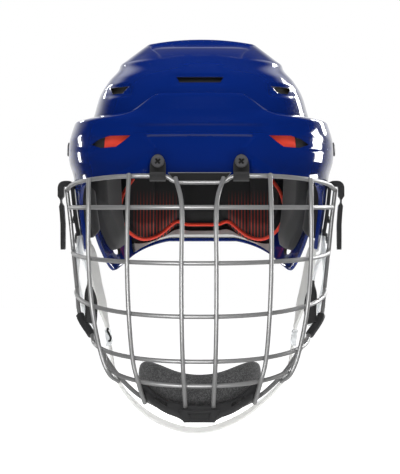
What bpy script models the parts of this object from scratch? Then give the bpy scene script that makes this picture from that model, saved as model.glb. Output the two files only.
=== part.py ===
"""Ice-hockey helmet: two-piece shell, foam liner, ear guards, chin strap and a wire face cage.

Metres, +Z up, the face looks along -Y and left is -X, as seen from the front.
The origin is where the helmet rests on the head: mid-head at the height of the brow edge.
"""
import math

import bmesh
import bpy
from mathutils import Vector
from mathutils.geometry import interpolate_bezier

# Fits
FIT_GAP = 0.0003
BORE_GAP = 0.0004
SHELL_GAP = 0.0006
CUT_REACH = 0.012

# Shell
SHELL_WALL = 0.003
PLAN_CENTRE_Y = 0.010
PLAN_EXPONENT = 2.35
CROWN_Y = 0.016
CROWN_HEIGHT = 0.114
# Each row of the dome is a level section: height, half width, front, back
DOME_ROWS = (
    (CROWN_HEIGHT * 0.9825, 0.0436, -0.015, 0.046),
    (CROWN_HEIGHT * 0.9518, 0.0480, -0.033, 0.060),
    (CROWN_HEIGHT * 0.8596, 0.0612, -0.062, 0.090),
    (CROWN_HEIGHT * 0.8333, 0.0648, -0.068, 0.095),
    (CROWN_HEIGHT * 0.8026, 0.0660, -0.074, 0.099),
    (CROWN_HEIGHT * 0.7193, 0.0740, -0.088, 0.111),
    (CROWN_HEIGHT * 0.6140, 0.0810, -0.099, 0.121),
    (CROWN_HEIGHT * 0.4737, 0.0857, -0.106, 0.132),
    (CROWN_HEIGHT * 0.3158, 0.0915, -0.110, 0.139),
    (CROWN_HEIGHT * 0.1404, 0.0965, -0.112, 0.142),
    (-0.0150, 0.0950, -0.112, 0.139),
    (-0.0450, 0.0900, -0.110, 0.130),
    (-0.0750, 0.0830, -0.106, 0.118),
)
# The front shell stands off the dome by its wall, and by this much more: height, side, front
FLARE_ROWS = (
    (0.0540, 0.0000, 0.0000),
    (0.0465, 0.0095, 0.0030),
    (0.0370, 0.0095, 0.0045),
    (0.0160, 0.0049, 0.0040),
    (0.0050, 0.0020, 0.0028),
    (-0.0200, 0.0010, 0.0020),
    (-0.0540, 0.0020, 0.0020),
)
# Upper edge of the front shell, by distance from the middle
SEAM_ROWS = ((0.0, 0.067), (0.031, 0.067), (0.055, 0.0535), (0.090, 0.0505))
# Lower edges, by distance along the helmet
FRONT_EDGE_ROWS = ((-0.120, 0.003), (-0.058, 0.001), (-0.036, -0.012), (-0.024, -0.051), (0.022, -0.054))
REAR_EDGE_ROWS = (
    (-0.046, 0.042), (-0.032, 0.012), (0.024, 0.004), (0.044, -0.024), (0.062, -0.052),
    (0.084, -0.070), (0.100, -0.066), (0.118, -0.057), (0.138, -0.046),
)
FRONT_SHELL_END_Y = 0.022
SHOULDER_HEIGHT = 0.0465
SHELL_COLUMNS = 50
LENGTH_TRAVEL = 0.015

# Openings in the shell
DISH_DEPTH = 0.0022
DISH_HALF_WIDTH = 0.033
DISH_FRONT = -0.058
DISH_BACK = 0.062
DISH_SLOPE = 0.7
# Slots through the shell: length, height, level
SLOT_VENT = (0.0370, 0.0050, CROWN_HEIGHT * 0.6623)
SIDE_VENT = (0.0125, 0.0050, CROWN_HEIGHT * 0.6228)
SIDE_VENT_X = 0.0605
EYE_VENT = ((-0.084, 0.0295), (-0.073, 0.0365), (-0.056, 0.0380), (-0.062, 0.0325), (-0.067, 0.0275))
NAPE_VENT = (0.013, 0.009, -0.053)
NAPE_VENT_Y = 0.084
REAR_VENT = (0.030, 0.0060, CROWN_HEIGHT * 0.5263)
REAR_VENT_X = 0.034

# Adjuster screws between the two shells
ADJUSTER_Y = 0.004
ADJUSTER_HEIGHT = 0.027
ADJUSTER_SHANK = 0.0025
ADJUSTER_HEAD = 0.0055
HEAD_THICKNESS = 0.0024
HEAD_EDGE = 0.55
HEAD_CROWN = 0.62

# Chin cup
CUP_WALL = 0.0026
CUP_HEIGHT = 0.0130
CUP_HALF_WIDTH = 0.0385
CUP_TAPER = 0.25
CHIN_RUN_TOP = -0.138
CHIN_PAD_HALF_WIDTH = CUP_HALF_WIDTH + 0.0095
CHIN_PAD_THICKNESS = 0.0150
CHIN_PAD_HEIGHT = 0.0360
CHIN_PAD_RISE = 0.0130
CHIN_PAD_SEAT = 0.42
CHIN_PAD_DIP = 0.0070
CHIN_PAD_SWEEP = (0.9, 0.5)
CHIN_PAD_TIP = 0.12
CHIN_PAD_ROUND = 0.7
CHIN_PAD_STATIONS = 18
CHIN_PAD_SIDES = 14

# Cage
WIRE = 0.0032
WIRE_SIDES = 8
CAGE_EXPONENT = 2.25
BAR_END_SPACE = WIRE * 0.8 + FIT_GAP * 1.6
RIM_END_SPACE = WIRE / 2 + FIT_GAP * 2
CLIP_X = 0.0314
CLIP_WIDTH = 0.0122
CLIP_PLATE = 0.0020
CLIP_TOP = 0.0205
CLIP_FOOT_DROP = 0.2
HOOK_TURN = 225.0
HOOK_STEPS = 9
# The top wire runs straight this far out and in from a clip's middle, in clip widths
CLIP_RUN = (0.75, 0.62)
CLIP_SCREW_HEIGHT = 0.0150
CLIP_SCREW_HEAD = 0.0046
CLIP_SCREW_SHANK = 0.0018
CAGE_AXIS_HEIGHT = 0.0040
TOP_DIP = 0.0048
PLATE_HALF_WIDTH = 0.0195
PLATE_HEIGHT = 0.0048
PLATE_THICKNESS = 0.0016
# Cross bars: height at the middle, height at the ends, half width, front, end
BARS = (
    (-0.0200, -0.0185, 0.1040, -0.1460, -0.0120),
    (-0.0615, -0.0530, 0.1010, -0.1520, -0.0130),
    (-0.1010, -0.0830, 0.0978, -0.1520, -0.0240),
    (-0.1345, -0.1190, 0.0840, -0.1460, -0.0450),
    (-0.1530, -0.1350, 0.0735, -0.1390, -0.0660),
)
TOP_CORNER = (0.1065, -0.0130, -0.0050)
TOP_SHOULDERS = ((0.0500, -0.1205), (0.0680, -0.1110), (0.0860, -0.0900), (0.0990, -0.0600))
# Side and chin run of the outer wire, from the corner down
RIM_POINTS = (
    (0.1065, -0.0130, -0.0050), (0.1036, -0.0120, -0.0300), (0.1014, -0.0130, -0.0530),
    (0.0978, -0.0240, -0.0830), (0.0950, -0.0340, -0.1030), (0.0850, -0.0450, -0.1185),
    (0.0760, -0.0600, -0.1310), (0.0670, -0.0780, -0.1430), (0.0560, -0.0960, -0.1540),
    (0.0420, -0.1110, -0.1640), (0.0220, -0.1230, -0.1720), (0.0000, -0.1270, -0.1745),
)
RIM_STEPS = 2
# The second uprights end this far outside the chin cup
CUP_SIDE_GAP = 0.0035
# Upright wires: distance from the middle at the top wire, at each bar and at the outer wire
UPRIGHTS = (
    (0.0180, 0.0131, 0.0131, 0.0131, 0.0125, 0.0118, 0.0110),
    (0.0527, 0.0532, 0.0535, 0.0522, 0.0495, 0.0455, CUP_HALF_WIDTH + CUP_SIDE_GAP),
    (0.0836, 0.0834, 0.0833, 0.0800, 0.0735, 0.0670, 0.0610),
)

# Side clips
SIDE_CLIP_Y = -0.0090
SIDE_CLIP_WIDTH = 0.0160
SIDE_CLIP_THICKNESS = 0.0022
SIDE_CLIP_SEAT = FIT_GAP * 2.5
SIDE_CLIP_SPLAY = 0.0004
SIDE_CLIP_ARCH = WIRE * 0.4
SIDE_CLIP_FOOT = -0.0350
SIDE_CLIP_OUTER_END = -0.0500
SIDE_CLIP_SCREW_Y = -0.0045
SIDE_CLIP_SCREW_HEAD = 0.0030
SIDE_CLIP_SCREW_HEIGHT = -0.0270

# Sleeves and straps of the cage
SLEEVE = 0.0066
SLEEVE_KNOTS = (4, 5)
SLEEVE_SIDES = 12
CAGE_STRAP_WIDTH = 0.0120
CAGE_STRAP_THICKNESS = 0.0018
CAGE_STRAP_RISE = 0.0330
CAGE_STRAP_LEAN = 0.35
# Points of a cage strap above its foot: outwards, back, share of the rise, share of the width
CAGE_STRAP_RUN = ((0.0, 0.0, 0.0, 1.0), (-0.0004, 0.004, 0.35, 1.0), (0.0010, 0.009, 0.75, 0.8),
                  (0.0022, 0.012, 1.0, 0.15))

# Liner
PAD_DEPTH = 0.012
REAR_PAD_DEPTH = 0.015
PAD_EDGE = 0.45
BROW_PAD_HALF = 0.050
BROW_PAD_TOP = 0.036
BROW_PAD_LOW = 0.005
VENT_PAD_INNER = BROW_PAD_HALF + 0.0035
VENT_PAD_OUTER = VENT_PAD_INNER + 0.0165
VENT_PAD_DEPTH = 0.007
VENT_PAD_LAP = 0.002
# Temple pads: front, back, top, bottom
TEMPLE_PAD = (-0.020, 0.018, -0.001, -0.043)
# Rear side pads: front, back, height above the shell's edge
REAR_SIDE_PAD = (0.047, 0.098, 0.016)
NAPE_PAD_START = 0.106
NAPE_PAD_TOP = 0.040
NAPE_PAD_LOW = -0.038
# Crown pad: top and bottom, as drops from the crown
CROWN_PAD_DROPS = (0.0080, 0.0280)
PIPING = 0.0030

# Ear guards and chin strap
EAR_THICKNESS = 0.0022
EAR_CENTRE_Y = 0.013
EAR_CENTRE_HEIGHT = -0.0745
EAR_OUTER = (0.0300, 0.0390)
EAR_HOLE = (0.0200, 0.0220)
EAR_HOLE_DROP = 0.0060
EAR_LEAN = 0.10
EAR_ROUND = 0.85
EAR_POINTS = 28
EAR_SCREW_HEIGHT = -0.0430
EAR_SCREW = ((0.0042, FIT_GAP), (0.0042, 0.0014), (0.0026, 0.0024))
STRAP_WIDTH = 0.0140
STRAP_THICKNESS = 0.0022
STRAP_TOP = -0.0490
STRAP_TUCK = 0.0040
STRAP_SEAT = FIT_GAP * 3
STRAP_SPREAD = 0.52
STRAP_BOW = 0.0010
STRAP_MEET = (0.0752, 0.0110, -0.1150)
STRAP_FRONT_Y = -0.0060
STRAP_REAR_Y = 0.0150
BUCKLE = (0.0040, 0.0290)
BUCKLE_DROP = 0.0014
CHIN_RUN = ((0.0735, 0.0110, -0.1290), (0.0670, 0.0105, -0.1560), (0.0450, 0.0100, -0.1800),
            (0.0220, 0.0095, -0.1930), (0.0000, 0.0095, -0.1975))

# Finishes: colour, roughness, metallic
FINISHES = {
    "gloss_blue": ((0.004, 0.018, 0.170, 1.0), 0.12, 0.0),
    "satin_steel": ((0.300, 0.300, 0.300, 1.0), 0.35, 0.9),
    "black_plastic": ((0.020, 0.020, 0.021, 1.0), 0.45, 0.0),
    "dark_steel": ((0.050, 0.050, 0.052, 1.0), 0.40, 0.8),
    "grey_foam": ((0.035, 0.035, 0.036, 1.0), 0.90, 0.0),
    "red_foam": ((0.620, 0.045, 0.020, 1.0), 0.75, 0.0),
    "clear_plastic": ((0.800, 0.810, 0.820, 1.0), 0.20, 0.0),
    "white_webbing": ((0.780, 0.780, 0.760, 1.0), 0.85, 0.0),
    "black_webbing": ((0.018, 0.018, 0.018, 1.0), 0.85, 0.0),
}

SIDES = (("left", -1.0), ("right", 1.0))


def clear_scene():
    for item in list(bpy.data.objects):
        bpy.data.objects.remove(item, do_unlink=True)


def finish(name):
    """Material of one finish, made at its first use."""
    material = bpy.data.materials.get(name)
    if material is None:
        colour, roughness, metallic = FINISHES[name]
        material = bpy.data.materials.new(name)
        material.use_nodes = True
        shader = material.node_tree.nodes["Principled BSDF"]
        shader.inputs["Base Color"].default_value = colour
        shader.inputs["Roughness"].default_value = roughness
        shader.inputs["Metallic"].default_value = metallic
        material.diffuse_color = colour
    return material


def group(name, place):
    """Empty on a joint's axis, which carries the pieces that move with it."""
    empty = bpy.data.objects.new(name, None)
    empty.location = place
    bpy.context.scene.collection.objects.link(empty)
    return empty


def put(name, data, finish_name, parent=None):
    """Object of a mesh or curve given in helmet coordinates, carried by its parent."""
    item = bpy.data.objects.new(name, data)
    bpy.context.scene.collection.objects.link(item)
    data.materials.append(finish(finish_name))
    if parent is not None:
        item.parent = parent
        item.matrix_parent_inverse.translation = -parent.location
    return item


def mesh_of(name, points, faces, smooth_angle=35.0):
    """Closed mesh with its faces pointing out."""
    data = bpy.data.meshes.new(name)
    data.from_pydata([tuple(point) for point in points], [], faces)
    shape = bmesh.new()
    shape.from_mesh(data)
    bmesh.ops.recalc_face_normals(shape, faces=shape.faces)
    shape.to_mesh(data)
    shape.free()
    data.shade_smooth()
    data.set_sharp_from_angle(angle=math.radians(smooth_angle))
    return data


def cut(item, cutters):
    """Subtract closed cutter objects, which stay hidden."""
    for cutter in cutters:
        cutter.hide_render = True
        cutter.display_type = "WIRE"
        modifier = item.modifiers.new(cutter.name, "BOOLEAN")
        modifier.operation = "DIFFERENCE"
        modifier.solver = "EXACT"
        modifier.object = cutter


def read_rows(rows, place):
    """Values at a place in rows that run steadily one way, straight between rows."""
    ordered = sorted(rows)
    if place <= ordered[0][0]:
        return ordered[0][1:]
    for low, high in zip(ordered, ordered[1:]):
        if place <= high[0]:
            share = (place - low[0]) / (high[0] - low[0])
            return tuple(a + (b - a) * share for a, b in zip(low[1:], high[1:]))
    return ordered[-1][1:]


def signed_power(value, power):
    return math.copysign(abs(value) ** power, value)


def dome_point(angle, height):
    """Outer face of the rear shell; the angle is 0 at the front and grows towards +X."""
    top = DOME_ROWS[0]
    if height > top[0]:
        share = max(0.0, (CROWN_HEIGHT - height) / (CROWN_HEIGHT - top[0])) ** 0.5
        half, front, back = (top[1] * share, CROWN_Y + (top[2] - CROWN_Y) * share,
                             CROWN_Y + (top[3] - CROWN_Y) * share)
        centre = CROWN_Y
    else:
        half, front, back = read_rows(DOME_ROWS, height)
        blend = min(1.0, (top[0] - height) / (top[0] - SHOULDER_HEIGHT))
        centre = CROWN_Y + (PLAN_CENTRE_Y - CROWN_Y) * blend
    across = signed_power(math.sin(angle), 2 / PLAN_EXPONENT)
    along = signed_power(math.cos(angle), 2 / PLAN_EXPONENT)
    reach = centre - front if along > 0 else back - centre
    return Vector((half * across, centre - reach * along, height))


def front_point(angle, height):
    """Outer face of the front shell, which lies over the dome."""
    side, front = read_rows(FLARE_ROWS, height)
    base = dome_point(angle, height)
    stand = SHELL_WALL + SHELL_GAP
    normal = face_normal(dome_point, angle, height)
    flare = Vector((side * math.sin(angle), -front * max(0.0, math.cos(angle)), 0.0))
    return base + normal * stand + flare


def face_normal(surface, angle, height):
    """Outward normal of a shell face."""
    turn, rise = 0.01, 0.0012
    around = surface(angle + turn, height) - surface(angle - turn, height)
    up = surface(angle, height + rise) - surface(angle, height - rise)
    return around.cross(up).normalized()


def on_face(surface, angle, height, offset):
    """Point at a distance outside a shell face."""
    return surface(angle, height) + face_normal(surface, angle, height) * offset


def angle_at_y(surface, y, height):
    """Angle on the +X side at which a level section reaches a distance along the helmet."""
    low, high = 0.0, math.pi
    for _ in range(40):
        middle = (low + high) / 2
        if surface(middle, height).y < y:
            low = middle
        else:
            high = middle
    return low


def angle_at_x(surface, x, height):
    """Angle on the front half at which a level section reaches a distance to the side."""
    low, high = -math.pi / 2, math.pi / 2
    for _ in range(40):
        middle = (low + high) / 2
        if surface(middle, height).x < x:
            low = middle
        else:
            high = middle
    return low


def even_angles(start, end, count):
    """Angles at even steps along the widest section of the dome."""
    fine = [start + (end - start) * step / 600 for step in range(601)]
    level = [dome_point(angle, DOME_ROWS[-4][0]) for angle in fine]
    run = [0.0]
    for a, b in zip(level, level[1:]):
        run.append(run[-1] + (b - a).length)
    picked = []
    index = 0
    for step in range(count + 1):
        target = run[-1] * step / count
        while index < 599 and run[index + 1] < target:
            index += 1
        share = (target - run[index]) / (run[index + 1] - run[index])
        picked.append(fine[index] + (fine[index + 1] - fine[index]) * share)
    return picked


def spread(anchors, counts):
    """Heights from anchor to anchor, each stretch in equal steps."""
    heights = [anchors[0]]
    for high, low, count in zip(anchors, anchors[1:], counts):
        heights += [high + (low - high) * step / count for step in range(1, count + 1)]
    return heights


def layered(name, surface, angles, heights_at, outer, inner, closed=False, capped=False):
    """Closed solid between two offsets of a shell face.

    heights_at gives a column's heights from the top down. outer and inner give the offsets for shares
    across the columns and down the rows. A closed solid runs right round, and a capped one meets at
    the crown.
    """
    columns = angles[:-1] if closed else angles
    points = []
    rows = len(heights_at(columns[0]))
    for face in (outer, inner):
        for number, angle in enumerate(columns):
            u = number / (len(angles) - 1)
            for step, height in enumerate(heights_at(angle)):
                v = step / (rows - 1)
                points.append(on_face(surface, angle, height, face(u, v)))
    count = len(columns)
    layer = count * rows
    faces = []
    spans = count if closed else count - 1
    for column in range(spans):
        after = (column + 1) % count
        for row in range(rows - 1):
            a = column * rows + row
            b = after * rows + row
            for shift in (0, layer):
                faces.append((shift + a, shift + b, shift + b + 1))
                faces.append((shift + a, shift + b + 1, shift + a + 1))
        low_a = column * rows + rows - 1
        low_b = after * rows + rows - 1
        faces.append((low_a, low_b, layer + low_b, layer + low_a))
        if not capped:
            top_a = column * rows
            top_b = after * rows
            faces.append((top_a, layer + top_a, layer + top_b, top_b))
    if capped:
        for side, face in ((0, outer), (layer, inner)):
            points.append(Vector((0.0, CROWN_Y, CROWN_HEIGHT + face(0.5, 0.0))))
            for column in range(count):
                faces.append((side + column * rows, len(points) - 1, side + ((column + 1) % count) * rows))
    if not closed:
        for row in range(rows - 1):
            end = (count - 1) * rows
            faces.append((row, row + 1, layer + row + 1, layer + row))
            faces.append((end + row, layer + end + row, layer + end + row + 1, end + row + 1))
    return mesh_of(name, points, faces)


def constant(value):
    return lambda u, v: value


def swept(name, path, sections):
    """Solid swept through rings of points, one ring for each point of a path, with flat ends."""
    points = []
    for centre, ring in zip(path, sections):
        points += [centre + offset for offset in ring]
    count = len(sections[0])
    faces = []
    for step in range(len(path) - 1):
        for number in range(count):
            a = step * count + number
            b = step * count + (number + 1) % count
            faces.append((a, b, b + count, a + count))
    last = (len(path) - 1) * count
    faces.append(tuple(range(count)))
    faces.append(tuple(last + number for number in range(count)))
    return mesh_of(name, points, faces)


def ribbon(name, path, across, width, thickness, taper=None):
    """Flat band along a path; across gives its width direction at each point."""
    sections = []
    for number, side in enumerate(across):
        before = path[max(0, number - 1)]
        after = path[min(len(path) - 1, number + 1)]
        run = (after - before).normalized()
        side = (side - run * side.dot(run)).normalized()
        flat = run.cross(side).normalized()
        half = width / 2 * (taper[number] if taper else 1.0)
        sections.append((side * half + flat * thickness / 2, -side * half + flat * thickness / 2,
                         -side * half - flat * thickness / 2, side * half - flat * thickness / 2))
    return swept(name, path, sections)


def smooth(points, steps):
    """Points of a smooth curve through a few chosen points."""
    knots = [Vector(point) for point in points]
    ends = [knots[0] * 2 - knots[1]] + knots + [knots[-1] * 2 - knots[-2]]
    path = [knots[0]]
    for number in range(len(knots) - 1):
        before, start, end, after = ends[number:number + 4]
        lead = start + (end - before) / 6
        trail = end - (after - start) / 6
        path += interpolate_bezier(start, lead, trail, end, steps + 1)[1:]
    return path


def mirrored(points):
    """Path over both sides, from a path that ends in the middle of the helmet."""
    left = [Vector((-point[0], point[1], point[2])) for point in points]
    right = [Vector(point) for point in points[:-1]]
    return left + right[::-1]


def wire(name, path, parent, diameter=WIRE, finish_name="satin_steel"):
    """Round wire along a path, with flat ends."""
    data = bpy.data.curves.new(name, "CURVE")
    data.dimensions = "3D"
    data.bevel_depth = diameter / 2
    data.bevel_resolution = (WIRE_SIDES - 4) // 2
    data.use_fill_caps = True
    spline = data.splines.new("POLY")
    spline.points.add(len(path) - 1)
    for knot, place in zip(spline.points, path):
        knot.co = (place[0], place[1], place[2], 1.0)
    return put(name, data, finish_name, parent)


def turned(name, profile, place, axis, sides=16):
    """Turned solid on an axis; the profile lists radius and distance along it."""
    axis = axis.normalized()
    first = axis.orthogonal().normalized()
    second = axis.cross(first)
    rings = []
    for radius, distance in profile:
        ring = []
        for number in range(sides):
            turn = 2 * math.pi * number / sides
            ring.append(axis * distance + (first * math.cos(turn) + second * math.sin(turn)) * radius)
        rings.append(ring)
    return swept(name, [place] * len(rings), rings)


def screw(name, seat, outward, head, shank, depth, parent=None):
    """Pan-head screw whose head rests on its seat and whose shank goes in."""
    profile = ((shank, -depth), (shank, FIT_GAP), (head, FIT_GAP), (head, HEAD_THICKNESS * HEAD_EDGE),
               (head * HEAD_CROWN, HEAD_THICKNESS))
    return put(name, turned(name, profile, seat, outward), "dark_steel", parent)


def prism_cutter(name, outline, start, end):
    """Cutter: an outline in a plane, carried from a start shift to an end shift."""
    rings = [list(outline), list(outline)]
    data = swept(name, [start, end], rings)
    return put(name, data, "black_plastic")


def slot_outline(length, height, along, up, arc=6):
    """Points of a slot with round ends, about its middle."""
    radius = height / 2
    straight = length / 2 - radius
    outline = []
    for end in (1.0, -1.0):
        for step in range(arc + 1):
            turn = math.pi * (step / arc - 0.5)
            reach = straight + radius * math.cos(turn)
            outline.append((along * reach + up * radius * math.sin(turn)) * end)
    return outline


def vent(name, surface, angle, height, length, tall):
    """Cutter for a slot through a shell face, square to it."""
    normal = face_normal(surface, angle, height)
    middle = surface(angle, height)
    along = Vector((0, 0, 1)).cross(normal).normalized()
    up = normal.cross(along)
    outline = slot_outline(length, tall, along, up)
    return prism_cutter(name, outline, middle - normal * CUT_REACH, middle + normal * CUT_REACH)


def adjuster_place(side):
    """Seat of an adjuster screw on the front shell, and the way out of it."""
    angle = angle_at_y(front_point, ADJUSTER_Y, ADJUSTER_HEIGHT) * side
    return front_point(angle, ADJUSTER_HEIGHT), face_normal(front_point, angle, ADJUSTER_HEIGHT)


def rear_heights(angle):
    low, = read_rows(REAR_EDGE_ROWS, dome_point(angle, DOME_ROWS[-4][0]).y)
    levels = [row[0] for row in DOME_ROWS]
    upper = levels[:7]
    nape = REAR_EDGE_ROWS[-1][1]
    lower = [low + (upper[-1] - low) * (level - nape) / (upper[-1] - nape) for level in levels[7:-2]]
    return [CROWN_HEIGHT - (CROWN_HEIGHT - upper[0]) / 4] + upper + lower + [low]


def front_heights(angle):
    base = dome_point(angle, SHOULDER_HEIGHT + SHELL_WALL)
    top, = read_rows(SEAM_ROWS, abs(base.x))
    low, = read_rows(FRONT_EDGE_ROWS, base.y)
    return spread([top, SHOULDER_HEIGHT, FLARE_ROWS[2][0], low], [2, 1, 5])


def dish_cutter():
    """Shallow trough along the crown between the two ridges."""
    stations = [DISH_FRONT + (DISH_BACK - DISH_FRONT) * step / 10 for step in range(11)]
    floor = []
    for y in stations:
        low, high = DOME_ROWS[6][0], CROWN_HEIGHT
        for _ in range(40):
            middle = (low + high) / 2
            turn = 0.0 if y < CROWN_Y else math.pi
            outside = dome_point(turn, middle).y > y if y < CROWN_Y else dome_point(turn, middle).y < y
            if outside:
                high = middle
            else:
                low = middle
        floor.append(low - DISH_DEPTH)
    floor[0] += DISH_DEPTH
    floor[-1] += DISH_DEPTH
    top = CROWN_HEIGHT + CUT_REACH
    rings = []
    path = []
    for y, height in zip(stations, floor):
        slope = top - height
        path.append(Vector((0.0, y, height)))
        rings.append((Vector((-DISH_HALF_WIDTH, 0, 0)), Vector((DISH_HALF_WIDTH, 0, 0)),
                      Vector((DISH_HALF_WIDTH + slope * DISH_SLOPE, 0, slope)),
                      Vector((-DISH_HALF_WIDTH - slope * DISH_SLOPE, 0, slope))))
    return put("dish_cutter", swept("dish_cutter", path, rings), "black_plastic")


def make_rear_shell(rear):
    """Dome and nape skirt, with its vents and the slots for the adjuster screws."""
    angles = even_angles(-math.pi, math.pi, SHELL_COLUMNS)
    data = layered("rear_shell", dome_point, angles, rear_heights, constant(0.0), constant(-SHELL_WALL),
                   closed=True, capped=True)
    shell = put("rear_shell", data, "gloss_blue", rear)
    cutters = [dish_cutter(), vent("slot_vent", dome_point, 0.0, SLOT_VENT[2], SLOT_VENT[0], SLOT_VENT[1])]
    for word, side in SIDES:
        angle = angle_at_x(dome_point, SIDE_VENT_X, SIDE_VENT[2]) * side
        cutters.append(vent("side_vent_" + word, dome_point, angle, SIDE_VENT[2], *SIDE_VENT[:2]))
        angle = angle_at_y(dome_point, NAPE_VENT_Y, NAPE_VENT[2]) * side
        cutters.append(vent("nape_vent_" + word, dome_point, angle, NAPE_VENT[2], *NAPE_VENT[:2]))
        angle = (math.pi - angle_at_x(dome_point, REAR_VENT_X, REAR_VENT[2])) * side
        cutters.append(vent("rear_vent_" + word, dome_point, angle, REAR_VENT[2], *REAR_VENT[:2]))
        seat, outward = adjuster_place(side)
        wide = ADJUSTER_SHANK * 2 + BORE_GAP * 2
        along = Vector((0, 0, 1)).cross(outward).normalized() * side
        outline = slot_outline(LENGTH_TRAVEL + wide, wide, along, outward.cross(along))
        middle = seat - along * LENGTH_TRAVEL / 2
        cutters.append(prism_cutter("adjuster_slot_" + word, outline, middle - outward * CUT_REACH, middle))
    cut(shell, cutters)


def make_front_shell():
    """Brow plate that wraps round to the temples, with a vent beside each brow."""
    end = angle_at_y(dome_point, FRONT_SHELL_END_Y, SHOULDER_HEIGHT)
    angles = even_angles(-end, end, SHELL_COLUMNS)
    data = layered("front_shell", front_point, angles, front_heights, constant(0.0), constant(-SHELL_WALL))
    shell = put("front_shell", data, "gloss_blue")
    cutters = []
    for word, side in SIDES:
        outline = [Vector((-x * side, 0.0, z)) for x, z in EYE_VENT]
        middle = front_point(angle_at_x(front_point, abs(EYE_VENT[1][0]), EYE_VENT[1][1]), EYE_VENT[1][1])
        back = Vector((0.0, middle.y + CUT_REACH * 3, 0.0))
        ahead = Vector((0.0, middle.y - CUT_REACH * 3, 0.0))
        cutters.append(prism_cutter("eye_vent_" + word, outline, back, ahead))
        seat, outward = adjuster_place(side)
        radius = ADJUSTER_SHANK + BORE_GAP
        hole = turned("adjuster_hole_" + word, ((radius, -CUT_REACH), (radius, CUT_REACH)), seat, outward)
        cutters.append(put("adjuster_hole_" + word, hole, "black_plastic"))
        seat, outward = clip_screw_place(side)
        radius = CLIP_SCREW_SHANK + BORE_GAP
        hole = turned("clip_hole_" + word, ((radius, -CUT_REACH), (radius, CUT_REACH)), seat, outward)
        cutters.append(put("clip_hole_" + word, hole, "black_plastic"))
    cut(shell, cutters)
    for word, side in SIDES:
        seat, outward = adjuster_place(side)
        screw("adjuster_screw_" + word, seat, outward, ADJUSTER_HEAD, ADJUSTER_SHANK,
              SHELL_WALL + SHELL_GAP + SHELL_WALL)


def cage_axis_y():
    """Distance along the helmet of the wire that the cage turns on."""
    inner = CLIP_X - CLIP_WIDTH / 2
    face = min(front_point(angle_at_x(front_point, inner, z), z).y for z in (CAGE_AXIS_HEIGHT, CLIP_TOP))
    return face - FIT_GAP - CLIP_PLATE - BORE_GAP - WIRE / 2


def clip_screw_place(side):
    """Seat of a brow clip's screw on the clip, and the way out of it."""
    face = cage_axis_y() + WIRE / 2 + BORE_GAP
    return Vector((CLIP_X * side, face, CLIP_SCREW_HEIGHT)), Vector((0, -1, 0))


def shell_jacket(name, outer, inner):
    """Cutter that follows the front shell between two offsets of its outer face."""
    end = angle_at_y(dome_point, FRONT_SHELL_END_Y, SHOULDER_HEIGHT)
    angles = even_angles(-end, end, SHELL_COLUMNS)
    data = layered(name, front_point, angles, front_heights, constant(outer), constant(inner))
    return put(name, data, "black_plastic")


def dome_jacket(name, outer, inner):
    """Cutter that follows the rear shell between two offsets of its outer face."""
    angles = even_angles(-math.pi, math.pi, SHELL_COLUMNS)
    data = layered(name, dome_point, angles, rear_heights, constant(outer), constant(inner),
                   closed=True, capped=True)
    return put(name, data, "black_plastic")


def make_brow_clips(jacket):
    """Hooked clips that hold the cage's top wire to the brow, each with a screw."""
    axis_y = cage_axis_y()
    inner = WIRE / 2 + BORE_GAP
    outer = inner + CLIP_PLATE
    for word, side in SIDES:
        turns = [-math.radians(HOOK_TURN * step / HOOK_STEPS) for step in range(HOOK_STEPS + 1)]
        outline = [(inner + CUT_REACH, -inner * CLIP_FOOT_DROP)]
        outline += [(outer * math.cos(turn), outer * math.sin(turn)) for turn in turns[1:]]
        outline += [(inner * math.cos(turn), inner * math.sin(turn)) for turn in reversed(turns)]
        shoulder = CLIP_TOP - CAGE_AXIS_HEIGHT
        outline += [(inner, shoulder), (inner + CUT_REACH, shoulder)]
        ring = [Vector((0.0, y, z)) for y, z in outline]
        ends = [Vector((CLIP_X * side + CLIP_WIDTH * end, axis_y, CAGE_AXIS_HEIGHT)) for end in (-0.5, 0.5)]
        clip = put("brow_clip_" + word, swept("brow_clip_" + word, ends, [ring, ring]), "black_plastic")
        seat, outward = clip_screw_place(side)
        radius = CLIP_SCREW_SHANK + BORE_GAP
        bore = turned("clip_bore_" + word, ((radius, -CUT_REACH * 2), (radius, CUT_REACH)), seat, outward)
        cut(clip, [jacket, put("clip_bore_" + word, bore, "black_plastic")])
        wall = front_point(angle_at_x(front_point, CLIP_X, CLIP_SCREW_HEIGHT), CLIP_SCREW_HEIGHT).y
        screw("brow_clip_screw_" + word, seat, outward, CLIP_SCREW_HEAD, CLIP_SCREW_SHANK,
              wall - seat.y + SHELL_WALL)


def bar_point(bar, x):
    """Point of a cross bar at a distance from the middle."""
    middle, end, half, front, back = bar
    share = min(1.0, abs(x) / half)
    bow = (1 - share ** CAGE_EXPONENT) ** (1 / CAGE_EXPONENT)
    return Vector((x, back + (front - back) * bow, end + (middle - end) * bow))


def bar_path(bar, steps=11):
    """Points of a cross bar from side to side, at even turns of its bow."""
    half = bar[2]
    return [bar_point(bar, half * signed_power(math.sin(math.pi * n / (2 * steps)), 2 / CAGE_EXPONENT))
            for n in range(-steps, steps + 1)]


def distance_to(path, place):
    """Least distance from a place to a line of points."""
    least = 1.0
    for a, b in zip(path, path[1:]):
        run = b - a
        share = max(0.0, min(1.0, (place - a).dot(run) / run.length_squared))
        least = min(least, (a + run * share - place).length)
    return least


def trimmed(path, other, space):
    """Path cut back at both ends until it stays clear of another line."""
    clear = list(path)
    for _ in range(2):
        while distance_to(other, clear[0]) < space and distance_to(other, clear[1]) < space:
            clear.pop(0)
        inside, outside = clear[0], clear[1]
        if distance_to(other, inside) < space:
            for _ in range(30):
                middle = (inside + outside) / 2
                if distance_to(other, middle) < space:
                    inside = middle
                else:
                    outside = middle
            clear[0] = outside
        clear.reverse()
    return clear


def rim_path():
    return smooth(mirrored(RIM_POINTS), RIM_STEPS)


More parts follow.
